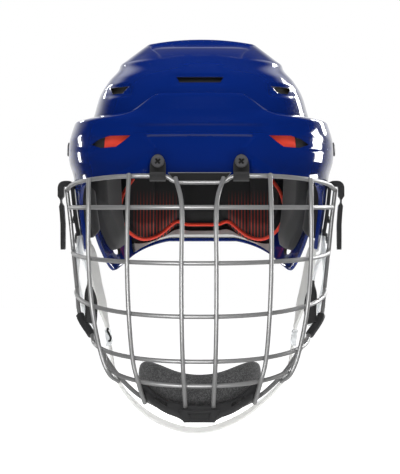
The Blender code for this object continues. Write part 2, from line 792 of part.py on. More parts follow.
def top_path():
    """Top wire from corner to corner: straight in the clips, with a dip between them."""
    axis_y = cage_axis_y()
    level = CAGE_AXIS_HEIGHT
    side = [Vector(TOP_CORNER)]
    reach = TOP_CORNER[1] - axis_y
    for x, y in reversed(TOP_SHOULDERS):
        share = (TOP_CORNER[1] - y) / reach
        side.append(Vector((x, y, TOP_CORNER[2] + (level - TOP_CORNER[2]) * share)))
    side.append(Vector((CLIP_X + CLIP_WIDTH * CLIP_RUN[0], axis_y, level)))
    run = smooth(side, 3)
    run.append(Vector((CLIP_X - CLIP_WIDTH * CLIP_RUN[1], axis_y, level)))
    run.append(Vector((PLATE_HALF_WIDTH, axis_y, level - TOP_DIP)))
    run.append(Vector((0.0, axis_y, level - TOP_DIP)))
    return mirrored(run)


def point_at_x(path, x):
    """Point of a line, in its front run, at a distance from the middle."""
    best = min((place for place in path), key=lambda place: abs(place.x - x))
    for a, b in zip(path, path[1:]):
        if min(a.x, b.x) <= x <= max(a.x, b.x) and a.x != b.x:
            return a + (b - a) * ((x - a.x) / (b.x - a.x))
    return best


def outward_at(path, x):
    """Level way out of the cage at a point of one of its lines."""
    step = 0.002
    run = point_at_x(path, x + step) - point_at_x(path, x - step)
    return Vector((run.y, -run.x, 0.0)).normalized()


def make_cage(cage):
    """Top wire, outer wire, cross bars and uprights of the cage."""
    rim = rim_path()
    top = top_path()
    wire("cage_rim", trimmed(rim, top, RIM_END_SPACE), cage)
    wire("cage_top_wire", top, cage)
    bars = []
    for number, bar in enumerate(BARS):
        path = bar_path(bar)
        bars.append(path)
        wire("cage_bar_%d" % (number + 1), trimmed(path, rim, BAR_END_SPACE), cage)
    for number, places in enumerate(UPRIGHTS):
        for word, side in SIDES:
            path = upright_path([top] + bars + [chin_line(places[-1])], [x * side for x in places])
            wire("cage_upright_%d_%s" % (number + 1, word), path, cage)


def chin_run():
    """Points of the outer wire along the chin."""
    return [place for place in rim_path() if place.z < CHIN_RUN_TOP]


def chin_line(x):
    """Line that an upright ends on: the outer wire, or the top edge of the chin cup in front of it."""
    run = chin_run()
    if x < CUP_HALF_WIDTH:
        lift = Vector((0.0, -CUP_WALL - FIT_GAP, CUP_HEIGHT / 2 + FIT_GAP))
        run = [place + lift for place in run]
    return run


def upright_path(lines, places):
    """Path of an upright that lies on the outside of the lines it crosses."""
    crossings = [point_at_x(line, x) for line, x in zip(lines, places)]
    knots = []
    for number, place in enumerate(crossings):
        run = crossings[min(len(crossings) - 1, number + 1)] - crossings[max(0, number - 1)]
        ahead = outward_at(lines[number], places[number])
        along = Vector((-ahead.y, ahead.x, 0.0))
        out = along.cross(run).normalized()
        if out.dot(ahead) < 0:
            out.negate()
        knots.append(place + out * (WIRE + FIT_GAP))
    return smooth(knots, 2)


def make_brow_plate(cage):
    """Small plate carried in the dip of the top wire."""
    axis_y = cage_axis_y()
    low = CAGE_AXIS_HEIGHT - TOP_DIP + WIRE / 2 + FIT_GAP
    half = PLATE_HALF_WIDTH
    rise = CLIP_X - CLIP_WIDTH / 2 - FIT_GAP * 4 - half
    ring = [Vector((-half + WIRE / 2, 0, 0)), Vector((half - WIRE / 2, 0, 0)),
            Vector((half + rise * 0.2, 0, PLATE_HEIGHT)), Vector((-half - rise * 0.2, 0, PLATE_HEIGHT))]
    start = Vector((0.0, axis_y - PLATE_THICKNESS / 2 + FIT_GAP, low))
    end = start + Vector((0.0, PLATE_THICKNESS, 0.0))
    put("brow_plate", swept("brow_plate", [start, end], [ring, ring]), "black_plastic", cage)


def make_chin_cup(cage):
    """Curved guard in front of the chin run of the outer wire, and its foam pad."""
    chin = chin_run()
    ends = [point_at_x(chin, CUP_HALF_WIDTH * end) for end in (-1.0, 1.0)]
    run = [ends[0]] + [place for place in chin if abs(place.x) < CUP_HALF_WIDTH] + [ends[1]]
    stand = WIRE / 2 + FIT_GAP + CUP_WALL / 2
    path = []
    across = []
    for number, place in enumerate(run):
        before = run[max(0, number - 1)]
        after = run[min(len(run) - 1, number + 1)]
        tangent = (after - before).normalized()
        ahead = Vector((tangent.y, -tangent.x, 0.0)).normalized()
        path.append(place + ahead * stand)
        across.append(tangent.cross(ahead))
    taper = [1 - CUP_TAPER * (place.x / CUP_HALF_WIDTH) ** 2 for place in run]
    put("chin_cup", ribbon("chin_cup", path, across, CUP_HEIGHT, CUP_WALL, taper), "black_plastic", cage)
    path = []
    rings = []
    for number in range(CHIN_PAD_STATIONS + 1):
        turn = math.pi * (number / CHIN_PAD_STATIONS - 0.5)
        share = math.sin(turn)
        x = CHIN_PAD_HALF_WIDTH * share
        wire_place = point_at_x(run, max(run[0].x, min(run[-1].x, x)))
        ahead = outward_at(run, max(run[1].x, min(run[-2].x, x)))
        fall = max(0.0, abs(x) - run[-1].x)
        swell = max(CHIN_PAD_TIP, math.cos(turn) ** 0.5)
        dip = CHIN_PAD_DIP * math.cos(turn) ** 4
        tall = (CHIN_PAD_HEIGHT - dip) * swell
        deep = CHIN_PAD_THICKNESS * swell
        centre = wire_place - ahead * (WIRE / 2 + FIT_GAP + CHIN_PAD_THICKNESS * CHIN_PAD_SEAT)
        centre += Vector((x - wire_place.x, fall * CHIN_PAD_SWEEP[0],
                          CHIN_PAD_RISE - dip / 2 + fall * CHIN_PAD_SWEEP[1]))
        ring = []
        for corner in range(CHIN_PAD_SIDES):
            angle = 2 * math.pi * corner / CHIN_PAD_SIDES
            out = signed_power(math.cos(angle), CHIN_PAD_ROUND) * deep / 2
            up = signed_power(math.sin(angle), CHIN_PAD_ROUND) * tall / 2
            ring.append(ahead * out + Vector((0, 0, up)))
        path.append(centre)
        rings.append(ring)
    put("chin_pad", swept("chin_pad", path, rings), "grey_foam", cage)


def make_sleeves(cage):
    """Rubber sleeves on the outer wire, each with a webbing strap that stands up behind it."""
    for word, side in SIDES:
        rim = rim_path() if side < 0 else rim_path()[::-1]
        run = rim[SLEEVE_KNOTS[0] * RIM_STEPS:SLEEVE_KNOTS[1] * RIM_STEPS + 1]
        outer = []
        inner = []
        for number, place in enumerate(run):
            before = run[max(0, number - 1)]
            after = run[min(len(run) - 1, number + 1)]
            tangent = (after - before).normalized()
            first = Vector((0, 1, 0)) - tangent * tangent.y
            first.normalize()
            second = tangent.cross(first)
            turns = [2 * math.pi * corner / SLEEVE_SIDES for corner in range(SLEEVE_SIDES)]
            ways = [first * math.cos(turn) + second * math.sin(turn) for turn in turns]
            outer.append([place + way * SLEEVE / 2 for way in ways])
            inner.append([place + way * (WIRE / 2 + BORE_GAP) for way in ways])
        rings = outer + inner[::-1]
        points = [point for ring in rings for point in ring]
        faces = []
        for step in range(len(rings)):
            after = (step + 1) % len(rings)
            for corner in range(SLEEVE_SIDES):
                beside = (corner + 1) % SLEEVE_SIDES
                low, high = step * SLEEVE_SIDES, after * SLEEVE_SIDES
                faces.append((low + corner, low + beside, high + beside, high + corner))
        put("cage_sleeve_" + word, mesh_of("cage_sleeve_" + word, points, faces), "black_plastic", cage)
        middle = run[len(run) // 2]
        tangent = (run[-1] - run[0]).normalized()
        inward = Vector((-side, 0.0, 0.0))
        inward = (inward - tangent * inward.dot(tangent)).normalized()
        foot = middle + inward * (SLEEVE / 2 + FIT_GAP + CAGE_STRAP_THICKNESS / 2)
        path = [foot + Vector((side * out, back, CAGE_STRAP_RISE * rise))
                for out, back, rise, _ in CAGE_STRAP_RUN]
        across = [Vector((0.0, 1.0, CAGE_STRAP_LEAN))] * len(path)
        band = ribbon("cage_strap_" + word, path, across, CAGE_STRAP_WIDTH, CAGE_STRAP_THICKNESS,
                      [row[3] for row in CAGE_STRAP_RUN])
        put("cage_strap_" + word, band, "black_webbing", cage)


def make_side_clips():
    """Arched clips over the cage's upper corners, on the outside of the temples."""
    for word, side in SIDES:
        path = []
        half = SIDE_CLIP_THICKNESS / 2
        for step in range(6):
            height = SIDE_CLIP_FOOT + (TOP_CORNER[2] - SIDE_CLIP_FOOT) * step / 5
            angle = angle_at_y(front_point, SIDE_CLIP_Y, height) * side
            path.append(on_face(front_point, angle, height, SIDE_CLIP_SEAT + half))
        inner = path[-1].x * side
        outer = TOP_CORNER[0] + WIRE / 2 + BORE_GAP + half
        radius = (outer - inner) / 2
        for step in range(1, 8):
            turn = math.pi * (1 - step / 8)
            path.append(Vector(((inner + radius + radius * math.cos(turn)) * side, path[-1].y,
                                TOP_CORNER[2] + (radius + SIDE_CLIP_ARCH) * math.sin(turn))))
        for step in range(4):
            height = TOP_CORNER[2] + (SIDE_CLIP_OUTER_END - TOP_CORNER[2]) * step / 3
            path.append(Vector(((outer + SIDE_CLIP_SPLAY * step) * side, SIDE_CLIP_Y, height)))
        across = [Vector((0, 1, 0))] * len(path)
        data = ribbon("side_clip_" + word, path, across, SIDE_CLIP_WIDTH, SIDE_CLIP_THICKNESS)
        put("side_clip_" + word, data, "black_plastic")
        angle = angle_at_y(front_point, SIDE_CLIP_SCREW_Y, SIDE_CLIP_SCREW_HEIGHT) * side
        seat = on_face(front_point, angle, SIDE_CLIP_SCREW_HEIGHT, SIDE_CLIP_SEAT + SIDE_CLIP_THICKNESS)
        profile = ((SIDE_CLIP_SCREW_HEAD, FIT_GAP),
                   (SIDE_CLIP_SCREW_HEAD * HEAD_CROWN, HEAD_THICKNESS * HEAD_EDGE))
        put("side_clip_screw_" + word,
            turned("side_clip_screw_" + word, profile, seat, Vector((side, 0, 0)), 12), "dark_steel")


def pad_depth(depth, channels=0, groove=0.35):
    """Depth of a foam pad: a crown, drawn-in sides and evenly spaced channels."""
    def at(u, v):
        rim = min(1.0, 6 * min(u, 1 - u), 6 * min(v, 1 - v))
        full = PAD_EDGE + (1 - PAD_EDGE) * math.sin(rim * math.pi / 2)
        if channels:
            full -= groove * max(0.0, math.cos(2 * math.pi * u * channels)) ** 6 * (0 < u < 1)
        return -(SHELL_WALL + FIT_GAP + depth * full)
    return at


def make_liner(rear):
    """Foam pads: brow and temples on the front shell, crown and nape on the rear shell."""
    seat = constant(-SHELL_WALL / 2)
    front_seat = shell_jacket("front_seat", SHELL_WALL, -SHELL_WALL - FIT_GAP)
    rear_seat = dome_jacket("rear_seat", SHELL_WALL, -SHELL_WALL - FIT_GAP)
    brow_angle = angle_at_x(front_point, BROW_PAD_HALF, BROW_PAD_TOP)
    angles = even_angles(-brow_angle, brow_angle, 20)
    data = layered("brow_pad", front_point, angles, lambda a: spread([BROW_PAD_TOP, BROW_PAD_LOW], [7]), seat,
                   pad_depth(PAD_DEPTH, 5))
    cut(put("brow_pad", data, "grey_foam"), [front_seat])
    for word, side in SIDES:
        start = angle_at_x(front_point, VENT_PAD_INNER, EYE_VENT[0][1])
        end = angle_at_x(front_point, VENT_PAD_OUTER, EYE_VENT[0][1])
        data = layered("vent_pad_" + word, front_point, one_side(start, end, 6, side), vent_pad_heights, seat,
                       pad_depth(VENT_PAD_DEPTH))
        cut(put("vent_pad_" + word, data, "red_foam"), [front_seat])
        start = angle_at_y(dome_point, TEMPLE_PAD[0], 0.0)
        end = angle_at_y(dome_point, TEMPLE_PAD[1], 0.0)
        data = layered("temple_pad_" + word, front_point, one_side(start, end, 10, side),
                       lambda a: spread([TEMPLE_PAD[2], TEMPLE_PAD[3]], [8]), seat, pad_depth(PAD_DEPTH, 2))
        cut(put("temple_pad_" + word, data, "grey_foam"), [front_seat])
        start = angle_at_y(dome_point, REAR_SIDE_PAD[0], 0.0)
        end = angle_at_y(dome_point, REAR_SIDE_PAD[1], 0.0)
        data = layered("rear_side_pad_" + word, dome_point, one_side(start, end, 8, side), side_pad_heights,
                       seat, pad_depth(PAD_DEPTH))
        cut(put("rear_side_pad_" + word, data, "grey_foam", rear), [rear_seat])
    start = angle_at_y(dome_point, NAPE_PAD_START, 0.0)
    angles = even_angles(start, 2 * math.pi - start, 20)
    data = layered("nape_pad", dome_point, angles, lambda a: spread([NAPE_PAD_TOP, NAPE_PAD_LOW], [8]), seat,
                   pad_depth(REAR_PAD_DEPTH, 5))
    cut(put("nape_pad", data, "grey_foam", rear), [rear_seat])
    inside = -(SHELL_WALL + FIT_GAP * 2 + REAR_PAD_DEPTH * PAD_EDGE * 0.5)
    level = NAPE_PAD_LOW - PIPING / 2 - FIT_GAP * 2
    path = [on_face(dome_point, angle, level, inside) for angle in angles]
    wire("nape_piping", path, rear, PIPING, "red_foam")
    angles = even_angles(-math.pi, math.pi, 24)
    data = layered("crown_pad", dome_point, angles, crown_pad_heights, seat,
                   pad_depth(PAD_DEPTH), closed=True)
    cut(put("crown_pad", data, "grey_foam", rear), [rear_seat])


def one_side(start, end, count, side):
    """Even angles from start to end, on one side of the helmet."""
    angles = even_angles(start, end, count)
    return angles if side > 0 else [-angle for angle in reversed(angles)]


def vent_pad_heights(angle):
    return spread([EYE_VENT[2][1] + VENT_PAD_LAP, EYE_VENT[4][1] - VENT_PAD_LAP], [4])


def crown_pad_heights(angle):
    return spread([CROWN_HEIGHT - drop for drop in CROWN_PAD_DROPS], [4])


def side_pad_heights(angle):
    low, = read_rows(REAR_EDGE_ROWS, dome_point(angle, 0.0).y)
    return spread([NAPE_PAD_TOP, low + REAR_SIDE_PAD[2]], [7])


def make_ear_guards():
    """Clear guards on the temples, each a curved plate with an open middle."""
    for word, side in SIDES:
        count = EAR_POINTS
        top = EAR_CENTRE_HEIGHT + EAR_OUTER[1]
        seat = front_point(angle_at_y(front_point, PLAN_CENTRE_Y, top), top).x + FIT_GAP
        points = []
        for depth in (0.0, EAR_THICKNESS):
            for radii, drop in ((EAR_OUTER, 0.0), (EAR_HOLE, EAR_HOLE_DROP)):
                for number in range(count):
                    turn = 2 * math.pi * number / count
                    y = EAR_CENTRE_Y + radii[0] * signed_power(math.cos(turn), EAR_ROUND)
                    z = EAR_CENTRE_HEIGHT - drop + radii[1] * signed_power(math.sin(turn), EAR_ROUND)
                    x = seat + depth + EAR_LEAN * min(0.0, z - FRONT_EDGE_ROWS[-1][1])
                    points.append(Vector((x * side, y, z)))
        faces = []
        for number in range(count):
            after = (number + 1) % count
            for low, high in ((0, 1), (1, 3), (3, 2), (2, 0)):
                faces.append((low * count + number, low * count + after, high * count + after,
                              high * count + number))
        data = mesh_of("ear_guard_" + word, points, faces)
        put("ear_guard_" + word, data, "clear_plastic")
        head = Vector(((seat + EAR_THICKNESS) * side, EAR_CENTRE_Y, EAR_SCREW_HEIGHT))
        put("ear_screw_" + word,
            turned("ear_screw_" + word, EAR_SCREW, head, Vector((side, 0, 0))), "dark_steel")


def make_chin_strap():
    """Webbing: two straps on each side that meet at a buckle, and one run under the chin."""
    for word, side in SIDES:
        meet = Vector((STRAP_MEET[0] * side, STRAP_MEET[1], STRAP_MEET[2]))
        for place, y in (("front", STRAP_FRONT_Y), ("rear", STRAP_REAR_Y)):
            angle = angle_at_y(front_point, y, STRAP_TOP) * side
            inside = -(SHELL_WALL + STRAP_SEAT + STRAP_THICKNESS / 2)
            top = on_face(front_point, angle, STRAP_TOP + STRAP_TUCK, inside)
            low = on_face(front_point, angle, STRAP_TOP - STRAP_TUCK, inside)
            shift = (STRAP_WIDTH * STRAP_SPREAD + FIT_GAP) * (-1 if place == "front" else 1)
            end = meet + Vector((0.0, shift, 0.0))
            middle = (low + end) / 2 + Vector((STRAP_BOW * side, 0, 0))
            path = [top, low, middle, end]
            across = [Vector((0, 1, 0))] * 4
            name = "strap_%s_%s" % (place, word)
            put(name, ribbon(name, path, across, STRAP_WIDTH, STRAP_THICKNESS), "white_webbing")
        thick, wide = BUCKLE
        foot = Vector((CHIN_RUN[0][0] * side, meet.y, CHIN_RUN[0][2]))
        lean = (foot - meet).normalized()
        path = [meet + lean * BUCKLE_DROP, foot - lean * FIT_GAP]
        data = ribbon("strap_buckle_" + word, path, [Vector((0, 1, 0))] * 2, wide, thick)
        put("strap_buckle_" + word, data, "black_plastic")
    path = smooth(mirrored(CHIN_RUN), 3)
    across = [Vector((0, 1, 0))] * len(path)
    put("chin_strap", ribbon("chin_strap", path, across, STRAP_WIDTH, STRAP_THICKNESS), "white_webbing")


def main():
    clear_scene()
    rear = group("rear_slide", (0.0, 0.0, 0.0))
    cage = group("cage_hinge", (0.0, cage_axis_y(), CAGE_AXIS_HEIGHT))
    make_rear_shell(rear)
    make_front_shell()
    jacket = shell_jacket("brow_jacket", FIT_GAP, -CUT_REACH)
    make_brow_clips(jacket)
    make_side_clips()
    make_cage(cage)
    make_brow_plate(cage)
    make_chin_cup(cage)
    make_sleeves(cage)
    make_liner(rear)
    make_ear_guards()
    make_chin_strap()


main()
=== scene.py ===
"""Ice-hockey helmet with a wire face cage: the finished pieces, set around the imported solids."""
import math

import bpy
from bpy.props import FloatProperty, FloatVectorProperty, PointerProperty
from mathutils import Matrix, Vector
from mathutils.geometry import interpolate_bezier


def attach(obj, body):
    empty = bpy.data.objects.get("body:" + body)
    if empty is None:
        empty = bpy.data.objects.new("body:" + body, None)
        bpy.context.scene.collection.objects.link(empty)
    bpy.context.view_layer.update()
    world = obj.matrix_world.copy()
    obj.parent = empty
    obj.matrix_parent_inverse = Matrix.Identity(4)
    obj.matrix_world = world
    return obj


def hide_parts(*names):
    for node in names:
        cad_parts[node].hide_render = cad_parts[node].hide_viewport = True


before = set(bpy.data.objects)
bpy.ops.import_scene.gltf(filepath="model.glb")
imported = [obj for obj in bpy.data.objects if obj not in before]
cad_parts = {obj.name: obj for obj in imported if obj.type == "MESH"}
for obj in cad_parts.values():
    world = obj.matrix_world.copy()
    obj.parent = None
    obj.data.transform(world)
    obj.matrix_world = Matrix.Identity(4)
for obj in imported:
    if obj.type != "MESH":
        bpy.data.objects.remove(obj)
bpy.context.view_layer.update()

bl_info = {
    "name": "Hockey helmet with cage",
    "version": (1, 0, 0),
    "blender": (4, 5, 0),
    "location": "3D View > Sidebar > Helmet",
    "description": "Builds the pieces of an ice-hockey helmet and its wire cage",
    "category": "Add Mesh",
}

SIDES = (("left", -1.0), ("right", 1.0))

# Shell forms, as in the solids: height, half width, front, back
CROWN_HEIGHT = 0.114
CROWN_Y = 0.016
PLAN_CENTRE_Y = 0.010
PLAN_EXPONENT = 2.35
RIDGE_HEIGHT = 0.1120
STEP_HEIGHT = 0.0915
SHOULDER_HEIGHT = 0.0465
FRONT_SHELL_END_Y = 0.022
SHELL_GAP = 0.0006
WIDEST_HEIGHT = 0.0160
DOME_ROWS = (
    (0.1120, 0.0436, -0.015, 0.046), (0.1085, 0.0480, -0.033, 0.060), (0.0980, 0.0612, -0.062, 0.090),
    (0.0950, 0.0648, -0.068, 0.095), (0.0915, 0.0660, -0.074, 0.099), (0.0820, 0.0740, -0.088, 0.111),
    (0.0700, 0.0810, -0.099, 0.121), (0.0540, 0.0857, -0.106, 0.132), (0.0360, 0.0915, -0.110, 0.139),
    (0.0160, 0.0965, -0.112, 0.142), (-0.0150, 0.0950, -0.112, 0.139), (-0.0450, 0.0900, -0.110, 0.130),
    (-0.0750, 0.0830, -0.106, 0.118),
)
FLARE_ROWS = (
    (0.0540, 0.0000, 0.0000), (0.0465, 0.0095, 0.0030), (0.0370, 0.0095, 0.0045), (0.0160, 0.0049, 0.0040),
    (0.0050, 0.0020, 0.0028), (-0.0200, 0.0010, 0.0020), (-0.0540, 0.0020, 0.0020),
)
SEAM_ROWS = ((0.0, 0.067), (0.031, 0.067), (0.055, 0.0535), (0.090, 0.0505))
FRONT_EDGE_ROWS = ((-0.120, 0.003), (-0.058, 0.001), (-0.036, -0.012), (-0.024, -0.051), (0.022, -0.054))
REAR_EDGE_ROWS = (
    (-0.046, 0.042), (-0.032, 0.012), (0.024, 0.004), (0.044, -0.024), (0.062, -0.052),
    (0.084, -0.070), (0.100, -0.066), (0.118, -0.057), (0.138, -0.046),
)
# Outlines of the openings, seen from the front: across, up
SLOT_VENT = ((-0.0180, 0.0803), (0.0180, 0.0803), (0.0156, 0.0758), (-0.0156, 0.0758))
SIDE_VENT = ((0.0550, 0.0742), (0.0703, 0.0742), (0.0680, 0.0686), (0.0600, 0.0688))
EYE_VENT = ((0.0835, 0.0288), (0.0775, 0.0328), (0.0690, 0.0352), (0.0525, 0.0350), (0.0580, 0.0306),
            (0.0638, 0.0266), (0.0760, 0.0260))

# Cage routes, as in the solids
CAGE_AXIS_Y = -0.12145
CAGE_AXIS_HEIGHT = 0.0040
CAGE_EXPONENT = 2.25
CLIP_X = 0.0314
CLIP_WIDTH = 0.0122
CLIP_TOP = 0.0205
CLIP_SCREW_HEIGHT = 0.0150
TOP_DIP = 0.0048
PLATE_HALF_WIDTH = 0.0195
BARS = (
    (-0.0200, -0.0185, 0.1040, -0.1460, -0.0120), (-0.0615, -0.0530, 0.1010, -0.1520, -0.0130),
    (-0.1010, -0.0830, 0.0978, -0.1520, -0.0240), (-0.1345, -0.1190, 0.0840, -0.1460, -0.0450),
    (-0.1530, -0.1350, 0.0735, -0.1390, -0.0660),
)
TOP_CORNER = (0.1065, -0.0130, -0.0050)
TOP_SHOULDERS = ((0.0500, -0.1205), (0.0680, -0.1110), (0.0860, -0.0900), (0.0990, -0.0600))
RIM_POINTS = (
    (0.1065, -0.0130, -0.0050), (0.1036, -0.0120, -0.0300), (0.1014, -0.0130, -0.0530),
    (0.0978, -0.0240, -0.0830), (0.0950, -0.0340, -0.1030), (0.0850, -0.0450, -0.1185),
    (0.0760, -0.0600, -0.1310), (0.0670, -0.0780, -0.1430), (0.0560, -0.0960, -0.1540),
    (0.0420, -0.1110, -0.1640), (0.0220, -0.1230, -0.1720), (0.0000, -0.1270, -0.1745),
)
UPRIGHTS = (
    (0.0180, 0.0126, 0.0126, 0.0125, 0.0118, 0.0109, 0.0100),
    (0.0520, 0.0520, 0.0520, 0.0507, 0.0480, 0.0440, 0.0400),
    (0.0820, 0.0818, 0.0816, 0.0788, 0.0727, 0.0667, 0.0610),
)
CHIN_RUN_TOP = -0.138
CUP_HALF_WIDTH = 0.0385
# Top edge of the chin cup, from the outer wire
CUP_LIP = Vector((0.0, -0.0029, 0.0068))
# Steps of the outer wire that a rubber sleeve covers
SLEEVE_RUN = slice(24, 31)
# How far one wire sinks into another at a weld
WELD_DEPTH = 0.0003
# Creases of the brow, seen from the front: the lip beside each clip and the foot of the facet at each eye vent
BROW_LIP = ((0.0412, 0.0188), (0.0575, 0.0089))
BROW_PANEL = ((0.0486, 0.0396), (0.0676, 0.0284))
# Slots with round ends, low at the nape and high at the back: place, width and height of the slot
NAPE_VENT_Y, NAPE_VENT_HEIGHT, NAPE_VENT_SIZE = 0.084, -0.053, (0.013, 0.009)
REAR_VENT_X, REAR_VENT_HEIGHT, REAR_VENT_SIZE = 0.034, 0.060, (0.030, 0.006)
# Reach of the cutters along the helmet: front, back
SLOT_CUT = (-0.125, -0.055)
SIDE_CUT = (-0.110, -0.020)
EYE_CUT = (-0.140, -0.010)
CUP_CUT = (-0.160, -0.090)
# Cage strap from its sleeve upwards: out, back, up
CAGE_STRAP = ((0.0, 0.0, 0.0), (-0.0004, 0.004, 0.01155), (0.0010, 0.009, 0.02475), (0.0022, 0.012, 0.0330))
# Air between hard pieces that touch
TOUCH_GAP = 0.0003
# Name of the lamp that lights the wires alone, and of the group of wires that it lights
CAGE_LIGHT = "cage_light"
# Points closer than this are one point
MERGE_DISTANCE = 0.000002
# Air between a shell and the foam on it
FOAM_GAP = 0.0004


def srgb(code):
    """Linear colour of a hex code."""
    parts = [int(code[place:place + 2], 16) / 255 for place in (1, 3, 5)]
    return [part / 12.92 if part <= 0.04045 else ((part + 0.055) / 1.055) ** 2.4 for part in parts]


def length(label, words, default):
    return FloatProperty(name=label, description=words, default=default, min=0.0, unit="LENGTH", precision=4)


def colour(label, words, code):
    return FloatVectorProperty(name=label, description=words, default=srgb(code), min=0.0, max=1.0,
                               subtype="COLOR", size=3)


class HelmetSizes(bpy.types.PropertyGroup):
    """Sizes that a user may change."""
    wall: length("Shell wall", "Thickness of the two shells", 0.003)
    dish: length("Crown dish", "Depth of the trough between the crown ridges", 0.0024)
    wire: length("Cage wire", "Diameter of the cage wires", 0.0034)
    pad: length("Front pads", "Depth of the brow and temple foam", 0.012)
    rear_pad: length("Rear pads", "Depth of the nape foam", 0.015)
    strap_width: length("Strap width", "Width of the chin webbing", 0.014)
    strap_thickness: length("Strap thickness", "Thickness of the chin webbing", 0.0022)
    floor: length("Floor drop", "Depth of the floor below the brow", 0.300)
    camera: length("Camera distance", "Distance of the camera from the helmet", 2.0)


class HelmetColours(bpy.types.PropertyGroup):
    """Colours that a user may change."""
    shell: colour("Shell", "Gloss blue of the shells", "#041E62")
    wire: colour("Cage", "Satin grey of the wires", "#939393")
    plastic: colour("Clips", "Black of the clips and the chin cup", "#303031")
    screw: colour("Screws", "Dark finish of the screws", "#5A5A5C")
    foam: colour("Liner", "Dark grey of the foam", "#3A3A3B")
    # On the vents' walls, the screws' cross recesses, the chin cup's slots, the eye vents' tips and below the
    # nape piping this black is painted shade; on the dome foam it is partly painted shade.
    black: colour("Black foam", "Matt black of the brow plate, the vents' walls and the dome foam", "#161617")
    pale: colour("Edge foam", "Pale grey of the nape's edge foam", "#B4B4B2")
    print: colour("Liner stripes", "Red of the fine stripes on the nape foam", "#C9402C")
    speck: colour("Chin foam specks", "Pale chips in the chin foam", "#8A8A8A")
    red: colour("Red foam", "Red of the vent foam and the piping", "#E0371B")
    clear: colour("Ear guards", "Tint of the clear guards", "#F3F5F6")
    strap: colour("Webbing", "White of the chin webbing", "#F2F2EF")
    black_strap: colour("Cage strap", "Black of the cage straps", "#1C1C1D")
    floor: colour("Floor", "Pale floor", "#F4F4F4")


def sizes():
    return bpy.context.scene.helmet_sizes


def tint_of(key):
    return list(getattr(bpy.context.scene.helmet_colours, key))


def add_node(owner, kind, links=None, **settings):
    """Adds a node; a link's value is another node's output or a plain value."""
    tree = owner.node_tree
    made = tree.nodes.new(kind)
    for key, value in settings.items():
        setattr(made, key, value)
    for socket, source in (links or {}).items():
        if isinstance(source, bpy.types.NodeSocket):
            tree.links.new(source, made.inputs[socket])
        else:
            made.inputs[socket].default_value = source
    return made


def maths(owner, operation, *values):
    """Result of a Math node on outputs or plain values."""
    return add_node(owner, "ShaderNodeMath", dict(enumerate(values)), operation=operation).outputs[0]


def span(owner, source, start, end, low=0.0, high=1.0, ease="LINEAR"):
    """Level that goes from low to high as a source passes from start to end."""
    links = {"Value": source, "From Min": start, "From Max": end, "To Min": low, "To Max": high}
    return add_node(owner, "ShaderNodeMapRange", links, interpolation_type=ease).outputs["Result"]


def object_place(material):
    return add_node(material, "ShaderNodeTexCoord").outputs["Object"]


def axis_of(owner, vector, axis):
    return add_node(owner, "ShaderNodeSeparateXYZ", {"Vector": vector}).outputs[axis]


def wave_of(material, source, pitch):
    """Sine wave of a given pitch in metres."""
    return maths(material, "SINE", maths(material, "MULTIPLY", source, 2 * math.pi / pitch))


def noise_of(material, size, detail):
    """Noise of a given size in metres."""
    links = {"Vector": object_place(material), "Scale": 1.0 / size, "Detail": detail}
    return add_node(material, "ShaderNodeTexNoise", links).outputs["Fac"]


def feed(material, socket, source):
    """Links an output to a socket of the material's shader."""
    material.node_tree.links.new(source, material.node_tree.nodes["Principled BSDF"].inputs[socket])


def plain_material(name, tint, **values):
    """Principled material with values set on its own sockets."""
    material = bpy.data.materials.new(name)
    material.use_nodes = True
    sockets = material.node_tree.nodes["Principled BSDF"].inputs
    sockets["Base Color"].default_value = (*tint, 1.0)
    for key, value in values.items():
        sockets[key.replace("_", " ").title().replace("Ior", "IOR")].default_value = value
    return material


def raised(material, height, distance):
    """Bump from a height of 0 to 1."""
    bump = add_node(material, "ShaderNodeBump", {"Height": height, "Distance": distance})
    feed(material, "Normal", bump.outputs["Normal"])


def two_tone(material, share, low, high):
    """Base colour between two tints, by a share from 0 to 1."""
    mix = add_node(material, "ShaderNodeMix", {0: share, 6: (*low, 1.0), 7: (*high, 1.0)}, data_type="RGBA")
    feed(material, "Base Color", mix.outputs[2])


def shaded(material, share, tint, low, high):
    """Base colour between two shades of a tint."""
    two_tone(material, share, [part * low for part in tint], [part * high for part in tint])


def grained(name, tint, size, depth, detail, rough, shades=None, **values):
    """Material with a grain, sized in metres: bump, a range of roughness and, if asked, of shades."""
    material = plain_material(name, tint, **values)
    noise = noise_of(material, size, detail)
    raised(material, noise, depth)
    feed(material, "Roughness", span(material, noise, 0.0, 1.0, *rough))
    if shades:
        shaded(material, noise, tint, *shades)
    return material


def gloss_abs():
    """Moulded and polished ABS: deep colour in 60 mm clouds, mirror-like gloss, orange peel of 3 mm."""
    tint = tint_of("shell")
    material = grained("gloss_abs_blue", tint, size=0.003, depth=0.00002, detail=1.0, rough=(0.06, 0.10),
                       ior=1.54, coat_weight=0.15, coat_roughness=0.03)
    shaded(material, noise_of(material, 0.06, 1.0), tint, 0.90, 1.10)
    return material


def coated_wire():
    """Steel wire under a thin satin coat: a soft bright line along it, fine 0.5 mm coat texture."""
    return grained("satin_coated_steel", tint_of("wire"), size=0.0005, depth=0.00002, detail=2.0,
                   rough=(0.36, 0.50), shades=(0.90, 1.08), metallic=0.50, specular_ior_level=0.25)


def moulded_nylon():
    """Moulded nylon: near black, with a spark-eroded grain drawn at 0.7 mm so that it shows."""
    return grained("moulded_nylon_black", tint_of("plastic"), size=0.0007, depth=0.00006, detail=3.0,
                   rough=(0.38, 0.55), shades=(0.8, 1.25), ior=1.53)


def black_oxide():
    """Black oxide on steel: dark metal, turned face with a soft sheen."""
    return grained("black_oxide_steel", tint_of("screw"), size=0.0006, depth=0.00002, detail=2.0,
                   rough=(0.24, 0.40), metallic=0.35)


def closed_foam(name, key, low, high):
    """Closed-cell foam: matt, with a skin of fine cells of about 0.9 mm."""
    return grained(name, tint_of(key), size=0.0009, depth=0.00012, detail=3.0, rough=(0.78, 0.95),
                   shades=(low, high), sheen_weight=0.15, sheen_roughness=0.6, ior=1.45)


